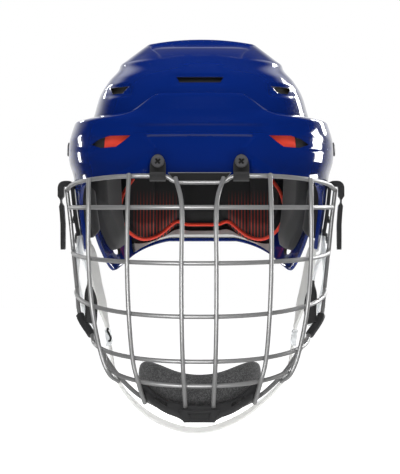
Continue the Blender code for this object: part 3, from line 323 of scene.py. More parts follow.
def striped_foam():
    """Closed-cell foam with printed fine upright stripes, 2.7 mm apart, beside the middle."""
    pitch, line_start, line_full, strength = 0.0027, 0.45, 0.80, 0.75
    tint = [part * 0.55 for part in tint_of("foam")]
    material = grained("printed_nape_foam", tint, size=0.0009, depth=0.00010, detail=3.0, rough=(0.70, 0.88),
                       ior=1.45, sheen_weight=0.1)
    place = object_place(material)
    aside = maths(material, "ABSOLUTE", axis_of(material, place, "X"))
    share = span(material, wave_of(material, aside, pitch), line_start, line_full, 0.0, strength)
    for source, start, end in ((aside, 0.020, 0.024), (aside, 0.060, 0.052),
                               (axis_of(material, place, "Z"), -0.002, -0.030)):
        share = maths(material, "MULTIPLY", share, span(material, source, start, end))
    two_tone(material, share, tint, tint_of("print"))
    return material


def chipped_foam():
    """Rebonded chin foam: dark, with a fine salt-and-pepper of chips of about 0.7 mm."""
    chip_size = 0.0007
    tint = tint_of("foam")
    material = grained("rebonded_chin_foam", tint, size=0.0008, depth=0.00012, detail=3.0, rough=(0.62, 0.85),
                       ior=1.45, sheen_weight=0.3, sheen_roughness=0.5)
    chips = add_node(material, "ShaderNodeTexVoronoi",
                     {"Vector": object_place(material), "Scale": 1.0 / chip_size})
    pale = add_node(material, "ShaderNodeSeparateColor", {"Color": chips.outputs["Color"]}).outputs["Red"]
    two_tone(material, span(material, pale, 0.30, 1.0, 0.0, 0.35), tint, tint_of("speck"))
    return material


def clear_polycarbonate():
    """Frosted clear polycarbonate: lets light through, with a milky body and soft gloss."""
    return grained("frosted_polycarbonate", tint_of("clear"), size=0.004, depth=0.00003, detail=1.0,
                   rough=(0.28, 0.40), ior=1.45, transmission_weight=0.55)


def webbing(name, key):
    """Woven polypropylene webbing: ribs across it 1.6 mm apart and warp threads 1.1 mm apart."""
    thread_height = 0.00025
    material = plain_material(name, tint_of(key), ior=1.49, sheen_weight=0.2, roughness=0.75)
    place = add_node(material, "ShaderNodeUVMap", uv_map="UVMap").outputs["UV"]
    waves = [wave_of(material, axis_of(material, place, axis), pitch)
             for axis, pitch in (("X", 0.0011), ("Y", 0.0016))]
    weave = span(material, maths(material, "MULTIPLY", *waves), -1.0, 1.0)
    raised(material, weave, thread_height)
    shaded(material, weave, tint_of(key), 0.82, 1.0)
    return material


FINISHES = {
    "shell": gloss_abs,
    "wire": coated_wire,
    "clip": moulded_nylon,
    # Matt black: the brow plate's own colour, and painted shade on the vents' walls, the screws' recesses, the
    # cup's slots, the eye vents' tips, below the nape piping and, in part, on the dome foam.
    "matt_black": lambda: closed_foam("matt_black_plate", "black", 0.8, 1.2),
    "screw": black_oxide,
    "liner": lambda: closed_foam("closed_cell_foam", "foam", 0.7, 1.3),
    "print": striped_foam,
    "pale_foam": lambda: closed_foam("pale_edge_foam", "pale", 0.8, 1.1),
    "chin_foam": chipped_foam,
    "red_liner": lambda: closed_foam("red_closed_cell_foam", "red", 0.85, 1.1),
    "clear": clear_polycarbonate,
    "webbing": lambda: webbing("white_webbing", "strap"),
    "black_webbing": lambda: webbing("black_webbing", "black_strap"),
}
MADE = {}


def finish(name):
    """Material of a finish, made at its first use."""
    if name not in MADE:
        MADE[name] = FINISHES[name]()
    return MADE[name]


def clear_selection():
    if bpy.context.object and bpy.context.object.mode != "OBJECT":
        bpy.ops.object.mode_set(mode="OBJECT")
    bpy.ops.object.select_all(action="DESELECT")


def pick(piece):
    clear_selection()
    piece.select_set(True)
    bpy.context.view_layer.objects.active = piece
    return piece


def named(name):
    """The primitive just added, under its own name."""
    piece = bpy.context.object
    piece.name = name
    piece.data.name = name
    return piece


def formed(name, place, add, **options):
    """Primitive whose points are moved to place(x, y, z)."""
    clear_selection()
    add(**options)
    piece = named(name)
    for point in piece.data.vertices:
        point.co = place(*point.co)
    return piece


def edited(piece, *steps):
    """Runs edit-mode operators, each with its settings, on all of a piece."""
    pick(piece)
    bpy.ops.object.mode_set(mode="EDIT")
    bpy.ops.mesh.select_all(action="SELECT")
    for operator, settings in steps:
        operator(**settings)
    bpy.ops.object.mode_set(mode="OBJECT")
    return piece


def tidy_faces(piece):
    """Merges doubled points and turns the faces of a closed piece outwards."""
    return edited(piece, (bpy.ops.mesh.remove_doubles, {"threshold": MERGE_DISTANCE}),
                  (bpy.ops.mesh.normals_make_consistent, {"inside": False}))


def modify(piece, kind, **settings):
    """Adds a modifier and applies it."""
    pick(piece)
    modifier = piece.modifiers.new(kind.title(), kind)
    for key, value in settings.items():
        setattr(modifier, key, value)
    bpy.ops.object.modifier_apply(modifier=modifier.name)
    return piece


def bevel(piece, width, degrees, segments=2):
    """Rounds the edges that turn by more than an angle."""
    return modify(piece, "BEVEL", width=width, segments=segments, limit_method="ANGLE",
                  angle_limit=math.radians(degrees))


def shaped_block(name, cuts, place):
    """Cube, subdivided, whose points are moved to place(u, v, w), each from 0 to 1."""
    clear_selection()
    bpy.ops.mesh.primitive_cube_add(size=1.0)
    piece = edited(named(name), (bpy.ops.mesh.subdivide, {"number_cuts": cuts}))
    for point in piece.data.vertices:
        point.co = place(*(part + 0.5 for part in point.co))
    return tidy_faces(piece)


def walled_grid(name, columns, rows, place):
    """Closed wall from one grid: columns hold (u, fullness), rows (v, w), with w 0 outside and 1 inside."""
    wide, tall = len(columns) - 1, len(rows) - 1

    def at(x, y, z):
        u, full = columns[round((x + 0.5) * wide)]
        v, w = rows[round((y + 0.5) * tall)]
        return place(u, v, 0.5 + (w - 0.5) * full)
    return tidy_faces(formed(name, at, bpy.ops.mesh.primitive_grid_add, x_subdivisions=wide,
                             y_subdivisions=tall, size=1.0))


def wall_rim(edge):
    """Rows round a rim that lies at v = 0, from the outside to the inside."""
    return [(edge * 0.3, 0.06), (0.0, 0.22), (0.0, 0.5), (0.0, 0.78), (edge * 0.3, 0.94)]


def ring_piece(name, major, minor, place):
    """Torus whose points are moved to place(turn, round), both angles."""
    def at(x, y, z):
        return place(math.atan2(y, x), math.atan2(z, math.hypot(x, y) - 1.0))
    return tidy_faces(formed(name, at, bpy.ops.mesh.primitive_torus_add, major_segments=major,
                             minor_segments=minor, major_radius=1.0, minor_radius=0.25))


def prism(name, outline, start, end):
    """Solid with an outline seen from the front, from a start to an end along the helmet."""
    clear_selection()
    bpy.ops.mesh.primitive_circle_add(vertices=len(outline), radius=1.0, fill_type="NGON")
    piece = named(name)
    for point, (x, z) in zip(piece.data.vertices, outline):
        point.co = (x, start, z)
    push = {"TRANSFORM_OT_translate": {"value": (0.0, end - start, 0.0)}}
    return tidy_faces(edited(piece, (bpy.ops.mesh.extrude_region_move, push)))


def beside(outline, side):
    return [(x * side, z) for x, z in outline]


def joined(pieces):
    """One piece from several."""
    pick(pieces[0])
    for piece in pieces[1:]:
        piece.select_set(True)
    bpy.ops.object.join()
    return pieces[0]


def twin_prisms(name, outline, start, end):
    """The same prism on both sides of the helmet, as one piece."""
    return joined([prism(name, beside(outline, side), start, end) for _, side in SIDES])


def carve(piece, cutter, wall_shade_finish=None):
    """Cuts one piece out of another and removes the cutter; a finish given for the cut's walls is painted
    shade that darkens them.
    """
    mode = "INDEX"
    if wall_shade_finish:
        cutter.data.materials.append(finish(wall_shade_finish))
        mode = "TRANSFER"
    modify(piece, "BOOLEAN", operation="DIFFERENCE", solver="EXACT", object=cutter, material_mode=mode)
    bpy.data.objects.remove(cutter, do_unlink=True)
    return piece


def settle(piece, finish_name, body, slot, *nodes, smooth=35.0):
    """Gives a finished piece its material, shading and body, and hides the nodes it stands for."""
    if not piece.data.materials:
        piece.data.materials.append(finish(finish_name))
    pick(piece)
    bpy.ops.object.shade_smooth_by_angle(angle=math.radians(smooth))
    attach(piece, body)
    if nodes:
        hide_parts(*nodes)
    return piece


def steady_slope(rows, index, column):
    """Slope of a smooth curve at a row, flat at a turn so that it never overshoots."""
    def secant(first):
        a, b = rows[first], rows[first + 1]
        return (b[column] - a[column]) / (b[0] - a[0])
    if index == 0:
        return secant(0)
    if index == len(rows) - 1:
        return secant(index - 1)
    before, after = secant(index - 1), secant(index)
    return 0.0 if before * after <= 0 else 2 * before * after / (before + after)


def eased(rows, place):
    """Values at a place in rows in rising order, on a smooth curve."""
    index = 0
    while index < len(rows) - 2 and place > rows[index + 1][0]:
        index += 1
    low, high = rows[index], rows[index + 1]
    gap = high[0] - low[0]
    t = min(1.0, max(0.0, (place - low[0]) / gap))
    values = []
    for column in range(1, len(low)):
        rise = t * t * (3 - 2 * t)
        values.append(low[column] * (1 - rise) + high[column] * rise
                      + gap * steady_slope(rows, index, column) * t * (1 - t) ** 2
                      - gap * steady_slope(rows, index + 1, column) * t * t * (1 - t))
    return values


def reader(rows, step=0.00025):
    """Quick reader of rows on a smooth curve."""
    rows = sorted(rows)
    start = rows[0][0]
    count = int((rows[-1][0] - start) / step) + 1
    values = [eased(rows, start + step * number) for number in range(count + 2)]

    def at(place):
        spot = min(max((place - start) / step, 0.0), count)
        number = int(spot)
        share = spot - number
        return [a + (b - a) * share for a, b in zip(values[number], values[number + 1])]
    return at


dome_rows = reader(DOME_ROWS)
flare_rows = reader(FLARE_ROWS)
seam_rows = reader(SEAM_ROWS)
front_edge = reader(FRONT_EDGE_ROWS)
rear_edge = reader(REAR_EDGE_ROWS)


def blend(a, b, share):
    return a + (b - a) * share


def ramp(value, start, end):
    """Smooth share from 0 at start to 1 at end."""
    t = min(1.0, max(0.0, (value - start) / (end - start)))
    return t * t * (3 - 2 * t)


def signed_power(value, power):
    return math.copysign(abs(value) ** power, value)


def dome_point(angle, height):
    """Outer face of the rear shell; the angle is 0 at the front and grows towards +X."""
    top = DOME_ROWS[0]
    if height > top[0]:
        share = max(0.0, (CROWN_HEIGHT - height) / (CROWN_HEIGHT - top[0])) ** 0.5
        half, front, back = top[1] * share, blend(CROWN_Y, top[2], share), blend(CROWN_Y, top[3], share)
        centre = CROWN_Y
    else:
        half, front, back = dome_rows(height)
        centre = blend(CROWN_Y, PLAN_CENTRE_Y, min(1.0, (top[0] - height) / (top[0] - SHOULDER_HEIGHT)))
    across = signed_power(math.sin(angle), 2 / PLAN_EXPONENT)
    along = signed_power(math.cos(angle), 2 / PLAN_EXPONENT)
    reach = centre - front if along > 0 else back - centre
    return Vector((half * across, centre - reach * along, height))


def face_normal(surface, angle, height):
    turn, rise = 0.01, 0.0012
    around = surface(angle + turn, height) - surface(angle - turn, height)
    up = surface(angle, height + rise) - surface(angle, height - rise)
    return around.cross(up).normalized()


def front_point(angle, height):
    """Outer face of the front shell, which lies over the dome."""
    side, front = flare_rows(height)
    stand = sizes().wall + SHELL_GAP
    flare = Vector((side * math.sin(angle), -front * max(0.0, math.cos(angle)), 0.0))
    return dome_point(angle, height) + face_normal(dome_point, angle, height) * stand + flare


def on_face(surface, angle, height, offset):
    return surface(angle, height) + face_normal(surface, angle, height) * offset


def turn_until(surface, height, low, high, reached):
    """Angle at which a level section reaches a place."""
    for _ in range(36):
        middle = (low + high) / 2
        if reached(surface(middle, height)):
            high = middle
        else:
            low = middle
    return low


def angle_at_y(surface, y, height):
    return turn_until(surface, height, 0.0, math.pi, lambda place: place.y >= y)


def angle_at_x(surface, x, height):
    return turn_until(surface, height, -math.pi / 2, math.pi / 2, lambda place: place.x >= x)


def even_turn(start, end):
    """Reader of angles at even steps along the widest section, by a share from 0 to 1."""
    count = 400
    fine = [blend(start, end, step / count) for step in range(count + 1)]
    level = [dome_point(angle, WIDEST_HEIGHT) for angle in fine]
    run = [0.0]
    for a, b in zip(level, level[1:]):
        run.append(run[-1] + (b - a).length)

    def at(share):
        target = run[-1] * share
        low, high = 0, count
        while high - low > 1:
            middle = (low + high) // 2
            if run[middle] <= target:
                low = middle
            else:
                high = middle
        return blend(fine[low], fine[high], (target - run[low]) / (run[high] - run[low]))
    return at


def smooth_line(points, steps):
    """Points of a smooth curve through a few chosen points."""
    knots = [Vector(point) for point in points]
    ends = [knots[0] * 2 - knots[1]] + knots + [knots[-1] * 2 - knots[-2]]
    path = [knots[0]]
    for number in range(len(knots) - 1):
        before, start, end, after = ends[number:number + 4]
        lead = start + (end - before) / 6
        trail = end - (after - start) / 6
        path += interpolate_bezier(start, lead, trail, end, steps + 1)[1:]
    return path


def mirrored(points):
    """Path over both sides, from a path that ends in the middle of the helmet."""
    left = [Vector((-point[0], point[1], point[2])) for point in points]
    right = [Vector(point) for point in points[:-1]]
    return left + right[::-1]


def value_on(values, share):
    """Point or number at a share of a list, between its entries."""
    spot = min(max(share, 0.0), 1.0) * (len(values) - 1)
    number = min(int(spot), len(values) - 2)
    return blend(values[number], values[number + 1], spot - number)


def run_at(path, share):
    step = 0.5 / (len(path) - 1)
    return (value_on(path, share + step) - value_on(path, share - step)).normalized()


def point_at_x(path, x):
    """Point of a line at a distance from the middle."""
    for a, b in zip(path, path[1:]):
        if min(a.x, b.x) <= x <= max(a.x, b.x) and a.x != b.x:
            return a.lerp(b, (x - a.x) / (b.x - a.x))
    return min(path, key=lambda place: abs(place.x - x))


def outward_at(path, x):
    step = 0.002
    run = point_at_x(path, x + step) - point_at_x(path, x - step)
    return Vector((run.y, -run.x, 0.0)).normalized()


def length_of(path):
    return sum((b - a).length for a, b in zip(path, path[1:]))


def tube(name, path, diameter, sides=4):
    """Round wire along a path: a curve with a round bevel, made a mesh."""
    data = bpy.data.curves.new(name, "CURVE")
    data.dimensions = "3D"
    data.bevel_depth = diameter / 2
    data.bevel_resolution = sides
    data.use_fill_caps = True
    spline = data.splines.new("POLY")
    spline.points.add(len(path) - 1)
    for knot, place in zip(spline.points, path):
        knot.co = (*place, 1.0)
    piece = bpy.data.objects.new(name, data)
    bpy.context.scene.collection.objects.link(piece)
    pick(piece)
    bpy.ops.object.convert(target="MESH")
    return tidy_faces(named(name))


def side_of(across, run):
    """Direction across a run, square to it."""
    return (across - run * across.dot(run)).normalized()


def band(name, path, across, width, thickness, rows, columns=10, edge=0.0008, taper=lambda v: 1.0):
    """Flat band along a path, mapped in metres; across gives its width direction at a share of its length."""
    total = length_of(path)

    def place(x, y, z):
        v = y + 0.5
        return value_on(path, v) + side_of(across(v), run_at(path, v)) * (x * width * taper(v))
    piece = formed(name, place, bpy.ops.mesh.primitive_grid_add, x_subdivisions=columns,
                   y_subdivisions=rows, size=1.0)
    for corner in piece.data.uv_layers["UVMap"].data:
        corner.uv = (corner.uv[0] * width, corner.uv[1] * total)
    modify(piece, "SOLIDIFY", thickness=thickness, offset=0.0, use_even_offset=False)
    return bevel(piece, edge, 50)


def strip(name, path, across, widths, depths, cuts=44, edge=0.0006):
    """Solid strip along a path, with a list of widths and one of thicknesses."""
    def place(u, w, v):
        run = run_at(path, v)
        side = side_of(across, run)
        out = side * (u - 0.5) * value_on(widths, v) + run.cross(side) * (w - 0.5) * value_on(depths, v)
        return value_on(path, v) + out
    return bevel(shaped_block(name, cuts, place), edge, 50)


def seam_height(angle):
    return seam_rows(abs(dome_point(angle, SHOULDER_HEIGHT + sizes().wall).x))[0]


def brow_edge(angle):
    return front_edge(dome_point(angle, SHOULDER_HEIGHT + sizes().wall).y)[0]


def nape_angle(x, height):
    """Angle at the back of the dome, on the side of x."""
    return math.copysign(math.pi - angle_at_x(dome_point, abs(x), height), x)


def beyond(place, start, end):
    """Distance of a place outside a line, on its lower side."""
    run = (Vector(end) - Vector(start)).normalized()
    return (Vector(place) - Vector(start)).dot(Vector((run[1], -run[0])))


def brow_relief(side, height):
    """How far the front shell's face stands out, at a distance from the middle and a height."""
    groove_depth, hollow_depth, scoop_depth = 0.0019, 0.0011, 0.0014
    lip_slope, panel_slope = 0.40, 0.10
    # A groove across the middle, and below it a hollow between the clips
    groove = ramp(side, 0.058, 0.046) * ramp(height, 0.0440, 0.0410) * ramp(height, 0.0358, 0.0372)
    hollow = min(0.0345 + 0.9 * max(0.0, height - 0.0254) - side, 0.0349 - height)
    # A lip that stands out below a slanted line, beside each clip
    lip = max(0.0, min(beyond((side, height), *BROW_LIP), 0.007))
    lip *= ramp(side, 0.037, 0.0385) * ramp(side, 0.068, 0.060)
    # An oval scoop at the outer end of each eye vent, and a facet that falls away above it
    scoop = ((side - 0.088) / 0.0160) ** 2 + ((height - 0.0290) / 0.0065) ** 2
    panel = max(0.0, min(-beyond((side, height), *BROW_PANEL), 0.010))
    panel *= ramp(height, 0.046, 0.040) * ramp(side, 0.085, 0.070)
    return (lip_slope * lip - groove_depth * groove - hollow_depth * ramp(hollow, 0.0, 0.0016)
            - scoop_depth * ramp(scoop, 1.2, 0.0) - panel_slope * panel)


def outside_box(place, x, z, half_width, half_height):
    """Distance of a place outside an upright box, seen from the front, on either side of the helmet."""
    return max(abs(abs(place.x) - x) - half_width, 0.0) + max(abs(place.z - z) - half_height, 0.0)


def dome_relief(place):
    """Lowers the dish on the crown and the recesses at the upper vents, and lifts the crest behind."""
    crest_rise, slot_depth, vent_depth = 0.0024, 0.0012, 0.0022
    # The dish narrows towards the front, and the crest follows behind it
    if place.z > 0.085:
        wide = blend(0.032, 0.0405, ramp(place.y, -0.060, -0.010))
        behind = ramp(place.y, -0.006, 0.004)
        dish = ramp(abs(place.x), wide, wide - 0.0022) * ramp(place.y, -0.0585, -0.0560)
        crest = max(0.0, 1 - (place.x / DOME_ROWS[0][1]) ** 2) * ramp(place.y, 0.080, 0.045)
        place.z += crest_rise * crest * behind - sizes().dish * dish * (1 - behind)
    # Shallow boxes round the slot vent in the middle and the side vents
    if place.y < -0.03 and place.z > 0.06:
        slot = outside_box(place, 0.0, 0.0782, 0.0190, 0.0030)
        vent = outside_box(place, 0.0630, 0.0712, 0.0085, 0.0030)
        place.y += slot_depth * ramp(slot, 0.0022, 0.0) + vent_depth * ramp(vent, 0.0035, 0.0)
    return place


def rear_relief(place):
    """How far the rear shell stands out behind the front shell: a back panel and a band on each side."""
    height = 0.0020
    side = abs(place.x)
    # The panel spans the back; the band on each side, 44 mm wide, falls towards the back
    panel = ramp(side, 0.051, 0.046) * ramp(place.y, 0.040, 0.062) * ramp(place.z, -0.037, -0.032)
    below = 0.046 - 0.30 * (place.y - 0.030) - place.z
    stripe = ramp(side, 0.052, 0.057) * ramp(place.y, 0.029, 0.036)
    stripe *= ramp(below, 0.0, 0.005) * ramp(below, 0.044, 0.039)
    return height * max(panel, stripe)


def dome_wall(angle, v, low, depth):
    """Point at a depth under the dome's outer face, at a share of the way up from its edge."""
    ridge, step = 0.18, 0.46
    down = 1 - v
    steep = min(1.0, down / ridge)
    if steep < 1:
        height = blend(CROWN_HEIGHT, RIDGE_HEIGHT, steep ** 2)
    elif down < step:
        height = blend(RIDGE_HEIGHT, STEP_HEIGHT, (down - ridge) / (step - ridge))
    else:
        height = blend(STEP_HEIGHT, low, (down - step) / (1 - step))
    normal = face_normal(dome_point, angle, min(height, RIDGE_HEIGHT - 0.002))
    normal = Vector((0, 0, 1)).lerp(normal, steep).normalized()
    place = dome_relief(dome_point(angle, height))
    return place + normal * (rear_relief(place) - depth)


def dome_rows_of(count, edge):
    """Rows of a dome wall: down the outside, round the rim and up the inside."""
    levels = [1 - step / count for step in range(count)] + [edge]
    return [(v, 0.0) for v in levels] + wall_rim(edge) + [(v, 1.0) for v in reversed(levels)]


def even_columns(count):
    """Columns of a wall, all at full thickness."""
    return [(step / count, 1.0) for step in range(count + 1)]


def slot_cutter(name, angle, height, wide, tall):
    """Cutter for a slot with round ends, square to the dome."""
    normal = face_normal(dome_point, angle, height)
    centre = dome_point(angle, height)
    along = Vector((0, 0, 1)).cross(normal).normalized()
    up = normal.cross(along)

    def place(x, y, z):
        return centre + along * (x + math.copysign((wide - tall) / 2, x)) + up * y + normal * z
    return tidy_faces(formed(name, place, bpy.ops.mesh.primitive_cylinder_add, vertices=24, radius=tall / 2,
                             depth=0.024))


class HELMET_OT_rear_shell(bpy.types.Operator):
    """Dome and nape skirt with its ridges, dish and vents"""
    bl_idname = "helmet.rear_shell"
    bl_label = "Rear shell"

    def execute(self, context):
        turn = even_turn(-math.pi, math.pi)

        def place(u, v, w):
            angle = turn(u)
            low, = rear_edge(dome_point(angle, WIDEST_HEIGHT).y)
            return dome_wall(angle, v, low, sizes().wall * w)
        piece = walled_grid("rear_shell_skin", even_columns(280), dome_rows_of(count=116, edge=0.005), place)
        piece.data.materials.append(finish("shell"))
        cutters = [prism("slot_cut", SLOT_VENT, *SLOT_CUT)]
        for _, side in SIDES:
            cutters.append(prism("side_cut", beside(SIDE_VENT, side), *SIDE_CUT))
            nape = angle_at_y(dome_point, NAPE_VENT_Y, NAPE_VENT_HEIGHT) * side
            cutters.append(slot_cutter("nape_cut", nape, NAPE_VENT_HEIGHT, *NAPE_VENT_SIZE))
            back = nape_angle(REAR_VENT_X * side, REAR_VENT_HEIGHT)
            cutters.append(slot_cutter("rear_cut", back, REAR_VENT_HEIGHT, *REAR_VENT_SIZE))
        # The vents' walls take matt black: painted shade that darkens the vents' insides.
        carve(piece, joined(cutters), "matt_black")
        settle(piece, "shell", "rear", "shell", "rear_shell", smooth=40.0)
        return {"FINISHED"}


class HELMET_OT_front_shell(bpy.types.Operator):
    """Brow plate that wraps round to the temples, with its ridge, facets and vents"""
    bl_idname = "helmet.front_shell"
    bl_label = "Front shell"

    def execute(self, context):
        chamfer, drop, deepest, side_run, margin = 0.0034, 0.0019, -0.0022, 0.19, 0.008
        wide_steps, tall_steps = 260, 96
        end = angle_at_y(dome_point, FRONT_SHELL_END_Y, SHOULDER_HEIGHT)
        turn = even_turn(-end, end)

        def place(u, v, w):
            angle = turn(u)
            top, low = seam_height(angle), brow_edge(angle)
            height = blend(low, top, v)
            base = front_point(angle, height)
            out = max(deepest, brow_relief(abs(base.x), height) * ramp(-base.y, 0.0, 0.02))
            edge = min(top - height, (1 - abs(2 * u - 1)) * side_run)
            out -= max(0.0, drop + min(0.0, out)) * (1 - min(1.0, edge / chamfer))
            outer = base + face_normal(front_point, angle, height) * out
            return outer.lerp(base - face_normal(dome_point, angle, height) * sizes().wall, w)
        start = [(0.0, 0.0), (0.0004, 0.5), (0.0012, 0.85), (0.0024, 1.0)]
        columns = start + even_columns(wide_steps)[1:-1] + [(1 - u, full) for u, full in reversed(start)]
        levels = [margin] + [step / tall_steps for step in range(1, tall_steps)] + [1 - margin]
        rim = wall_rim(margin)
        rows = [(v, 0.0) for v in levels] + [(1 - v, w) for v, w in rim]
        rows += [(v, 1.0) for v in reversed(levels)] + rim[::-1] + [(margin, 0.0)]
        piece = walled_grid("front_shell_skin", columns, rows, place)
        carve(piece, twin_prisms("eye_cut", EYE_VENT, *EYE_CUT))
        settle(piece, "shell", "helmet", "shell", "front_shell", smooth=32.0)
        return {"FINISHED"}


def bar_path(bar, steps=22):
    """Points of a cross bar from side to side, at even turns of its bow."""
    middle, end, half, front, back = bar
    path = []
    for number in range(-steps, steps + 1):
        x = half * signed_power(math.sin(math.pi * number / (2 * steps)), 2 / CAGE_EXPONENT)
        bow = (1 - min(1.0, abs(x) / half) ** CAGE_EXPONENT) ** (1 / CAGE_EXPONENT)
        path.append(Vector((x, blend(back, front, bow), blend(end, middle, bow))))
    return path


def rim_path():
    return smooth_line(mirrored(RIM_POINTS), 6)


def rounded(path, rounds=2):
    """Line with its corners cut off, again and again."""
    for _ in range(rounds):
        cut = [path[0]]
        for a, b in zip(path, path[1:]):
            cut += [a.lerp(b, 0.25), a.lerp(b, 0.75)]
        path = cut + [path[-1]]
    return path


def top_path():
    """Top wire from corner to corner: straight in the clips, with a dip between them."""
    level = CAGE_AXIS_HEIGHT
    corner = Vector(TOP_CORNER)
    side = [corner]
    for x, y in reversed(TOP_SHOULDERS):
        share = (corner.y - y) / (corner.y - CAGE_AXIS_Y)
        side.append(Vector((x, y, blend(corner.z, level, share))))
    side.append(Vector((CLIP_X + CLIP_WIDTH * 0.75, CAGE_AXIS_Y, level)))
    run = smooth_line(side, 6)
    run.append(Vector((CLIP_X - CLIP_WIDTH * 0.62, CAGE_AXIS_Y, level)))
    run.append(Vector((PLATE_HALF_WIDTH, CAGE_AXIS_Y, level - TOP_DIP)))
    run.append(Vector((0.0, CAGE_AXIS_Y, level - TOP_DIP)))
    return rounded(mirrored(run))


def chin_run():
    return [place for place in rim_path() if place.z < CHIN_RUN_TOP]


def upright_path(lines, places):
    """Path of an upright that is welded to the outside of the lines it crosses."""
    crossings = [point_at_x(line, x) for line, x in zip(lines, places)]
    knots = []
    for number, place in enumerate(crossings):
        run = crossings[min(len(crossings) - 1, number + 1)] - crossings[max(0, number - 1)]
        ahead = outward_at(lines[number], places[number])
        out = Vector((-ahead.y, ahead.x, 0.0)).cross(run).normalized()
        if out.dot(ahead) < 0:
            out.negate()
        knots.append(place + out * (sizes().wire - WELD_DEPTH))
    return smooth_line(knots, 6)


def chin_line(x):
    """Line that an upright ends on: the outer wire, or the top edge of the chin cup in front of it."""
    if x < CUP_HALF_WIDTH:
        return [place + CUP_LIP for place in chin_run()]
    return chin_run()


class HELMET_OT_cage(bpy.types.Operator):
    """Round wires of the cage, welded where they cross"""
    bl_idname = "helmet.cage"
    bl_label = "Cage wires"

    def execute(self, context):
        bars = [bar_path(bar) for bar in BARS]
        top = top_path()
        routes = [("cage_top_wire", top), ("cage_rim", rim_path())]
        routes += [("cage_bar_%d" % (number + 1), path) for number, path in enumerate(bars)]
        for number, places in enumerate(UPRIGHTS):
            lines = [top] + bars + [chin_line(places[-1])]
            for word, side in SIDES:
                path = upright_path(lines, [x * side for x in places])
                routes.append(("cage_upright_%d_%s" % (number + 1, word), path))
        for node, path in routes:
            piece = settle(tube(node + "_round", path, sizes().wire), "wire", "cage", "wire", node)
            bpy.data.collections[CAGE_LIGHT].objects.link(piece)
        return {"FINISHED"}


def push_faces(piece, facing, ring, shift, grow):
    """Insets the flat end that faces up or down and moves it, with new walls if it is to grow."""
    bpy.ops.object.mode_set(mode="EDIT")
    bpy.ops.mesh.select_all(action="DESELECT")
    bpy.ops.object.mode_set(mode="OBJECT")
    for face in piece.data.polygons:
        face.select = face.normal.z * facing > 0.9
    bpy.ops.object.mode_set(mode="EDIT")
    bpy.ops.mesh.select_mode(type="FACE")
    bpy.ops.mesh.inset(thickness=ring)
    move = {"value": (0.0, 0.0, shift)}
    if grow:
        bpy.ops.mesh.extrude_region_move(TRANSFORM_OT_translate=move)
    else:
        bpy.ops.transform.translate(**move)
    bpy.ops.object.mode_set(mode="OBJECT")


def screw(name, node, seat, outward, head, height, shank, depth):
    """Pan-head screw with a cross recess, its head on a seat and its shank going in."""
    crown_ring, crown_rise, recess_turn, recess_lift = 0.34, 0.30, 0.7, 0.82
    arm_top, arm_foot, arm_width = 1.35, 0.81, 0.30
    clear_selection()
    bpy.ops.mesh.primitive_cylinder_add(vertices=36, radius=head, depth=height)
    piece = named(name)
    push_faces(piece, 1.0, head * crown_ring, height * crown_rise, False)
    push_faces(piece, -1.0, head - shank, -depth, True)
    bevel(piece, height * 0.16, 25)
    piece.data.materials.append(finish("screw"))
    # The walls of the cross recess take matt black: painted shade in the recess.
    for turn in (recess_turn, recess_turn + math.pi / 2):
        def arm(x, y, z):
            x *= head * (arm_top if z > 0 else arm_foot)
            y *= head * arm_width
            return (x * math.cos(turn) - y * math.sin(turn), x * math.sin(turn) + y * math.cos(turn),
                    (z + recess_lift) * height)
        carve(piece, formed("cross_cut", arm, bpy.ops.mesh.primitive_cube_add, size=1.0), "matt_black")
    track = outward.normalized().to_track_quat("Z", "Y")
    for point in piece.data.vertices:
        point.co = seat + track @ (point.co + Vector((0, 0, height / 2)))
    return settle(piece, "screw", "helmet", "screw", node)


class HELMET_OT_brow_hardware(bpy.types.Operator):
    """Hooked clips with their screws, and the small plate between them"""
    bl_idname = "helmet.brow_hardware"
    bl_label = "Brow hardware"

    def execute(self, context):
        hook, thick, straight_steps, bend_steps, bend = 0.0031, 0.0022, 16, 27, math.radians(225)
        face = CAGE_AXIS_Y + hook
        path = [Vector((0.0, face, blend(CLIP_TOP, CAGE_AXIS_HEIGHT, step / straight_steps)))
                for step in range(straight_steps)]
        for step in range(bend_steps + 1):
            turn = bend * step / bend_steps
            path.append(Vector((0.0, CAGE_AXIS_Y + hook * math.cos(turn),
                                CAGE_AXIS_HEIGHT - hook * math.sin(turn))))
        total = length_of(path)

        def taper(v):
            short = max(0.0, 1 - v * total / (CLIP_WIDTH / 2))
            return max(0.08, (1 - short ** 2) ** 0.5)
        for word, side in SIDES:
            route = [place + Vector((CLIP_X * side, 0.0, 0.0)) for place in path]
            clip = band("brow_clip_%s_hook" % word, route, lambda v: Vector((1, 0, 0)), CLIP_WIDTH, thick,
                        columns=18, rows=64, edge=0.0006, taper=taper)
            settle(clip, "clip", "helmet", "clip", "brow_clip_" + word)
            seat = Vector((CLIP_X * side, face - thick / 2, CLIP_SCREW_HEIGHT))
            screw("brow_screw_" + word, "brow_clip_screw_" + word, seat, Vector((0, -1, 0)),
                  head=0.0049, height=0.0026, shank=0.0018, depth=0.006)
        self.plate("brow_plate_cover", 0.0, 0.0018, "matt_black", "brow_plate")
        self.plate("brow_plate_edge", 0.0006, 0.0010, "wire")
        return {"FINISHED"}

    def plate(self, name, grow, front, finish_name, *nodes):
        """Plate that widens upwards; its edge is a second one, grown a little and further back."""
        low, tall, back = CAGE_AXIS_HEIGHT - TOP_DIP + 0.0012 - grow, 0.0056 + 2 * grow, 0.0009
        foot, top = PLATE_HALF_WIDTH - 0.001 + grow, PLATE_HALF_WIDTH + 0.0035 + grow * 1.6
        outline = ((-foot, low), (foot, low), (top, low + tall), (-top, low + tall))
        piece = prism(name, outline, CAGE_AXIS_Y - front, CAGE_AXIS_Y + back)
        settle(bevel(piece, 0.0004, 30, 3), finish_name, "cage", "clip", *nodes)


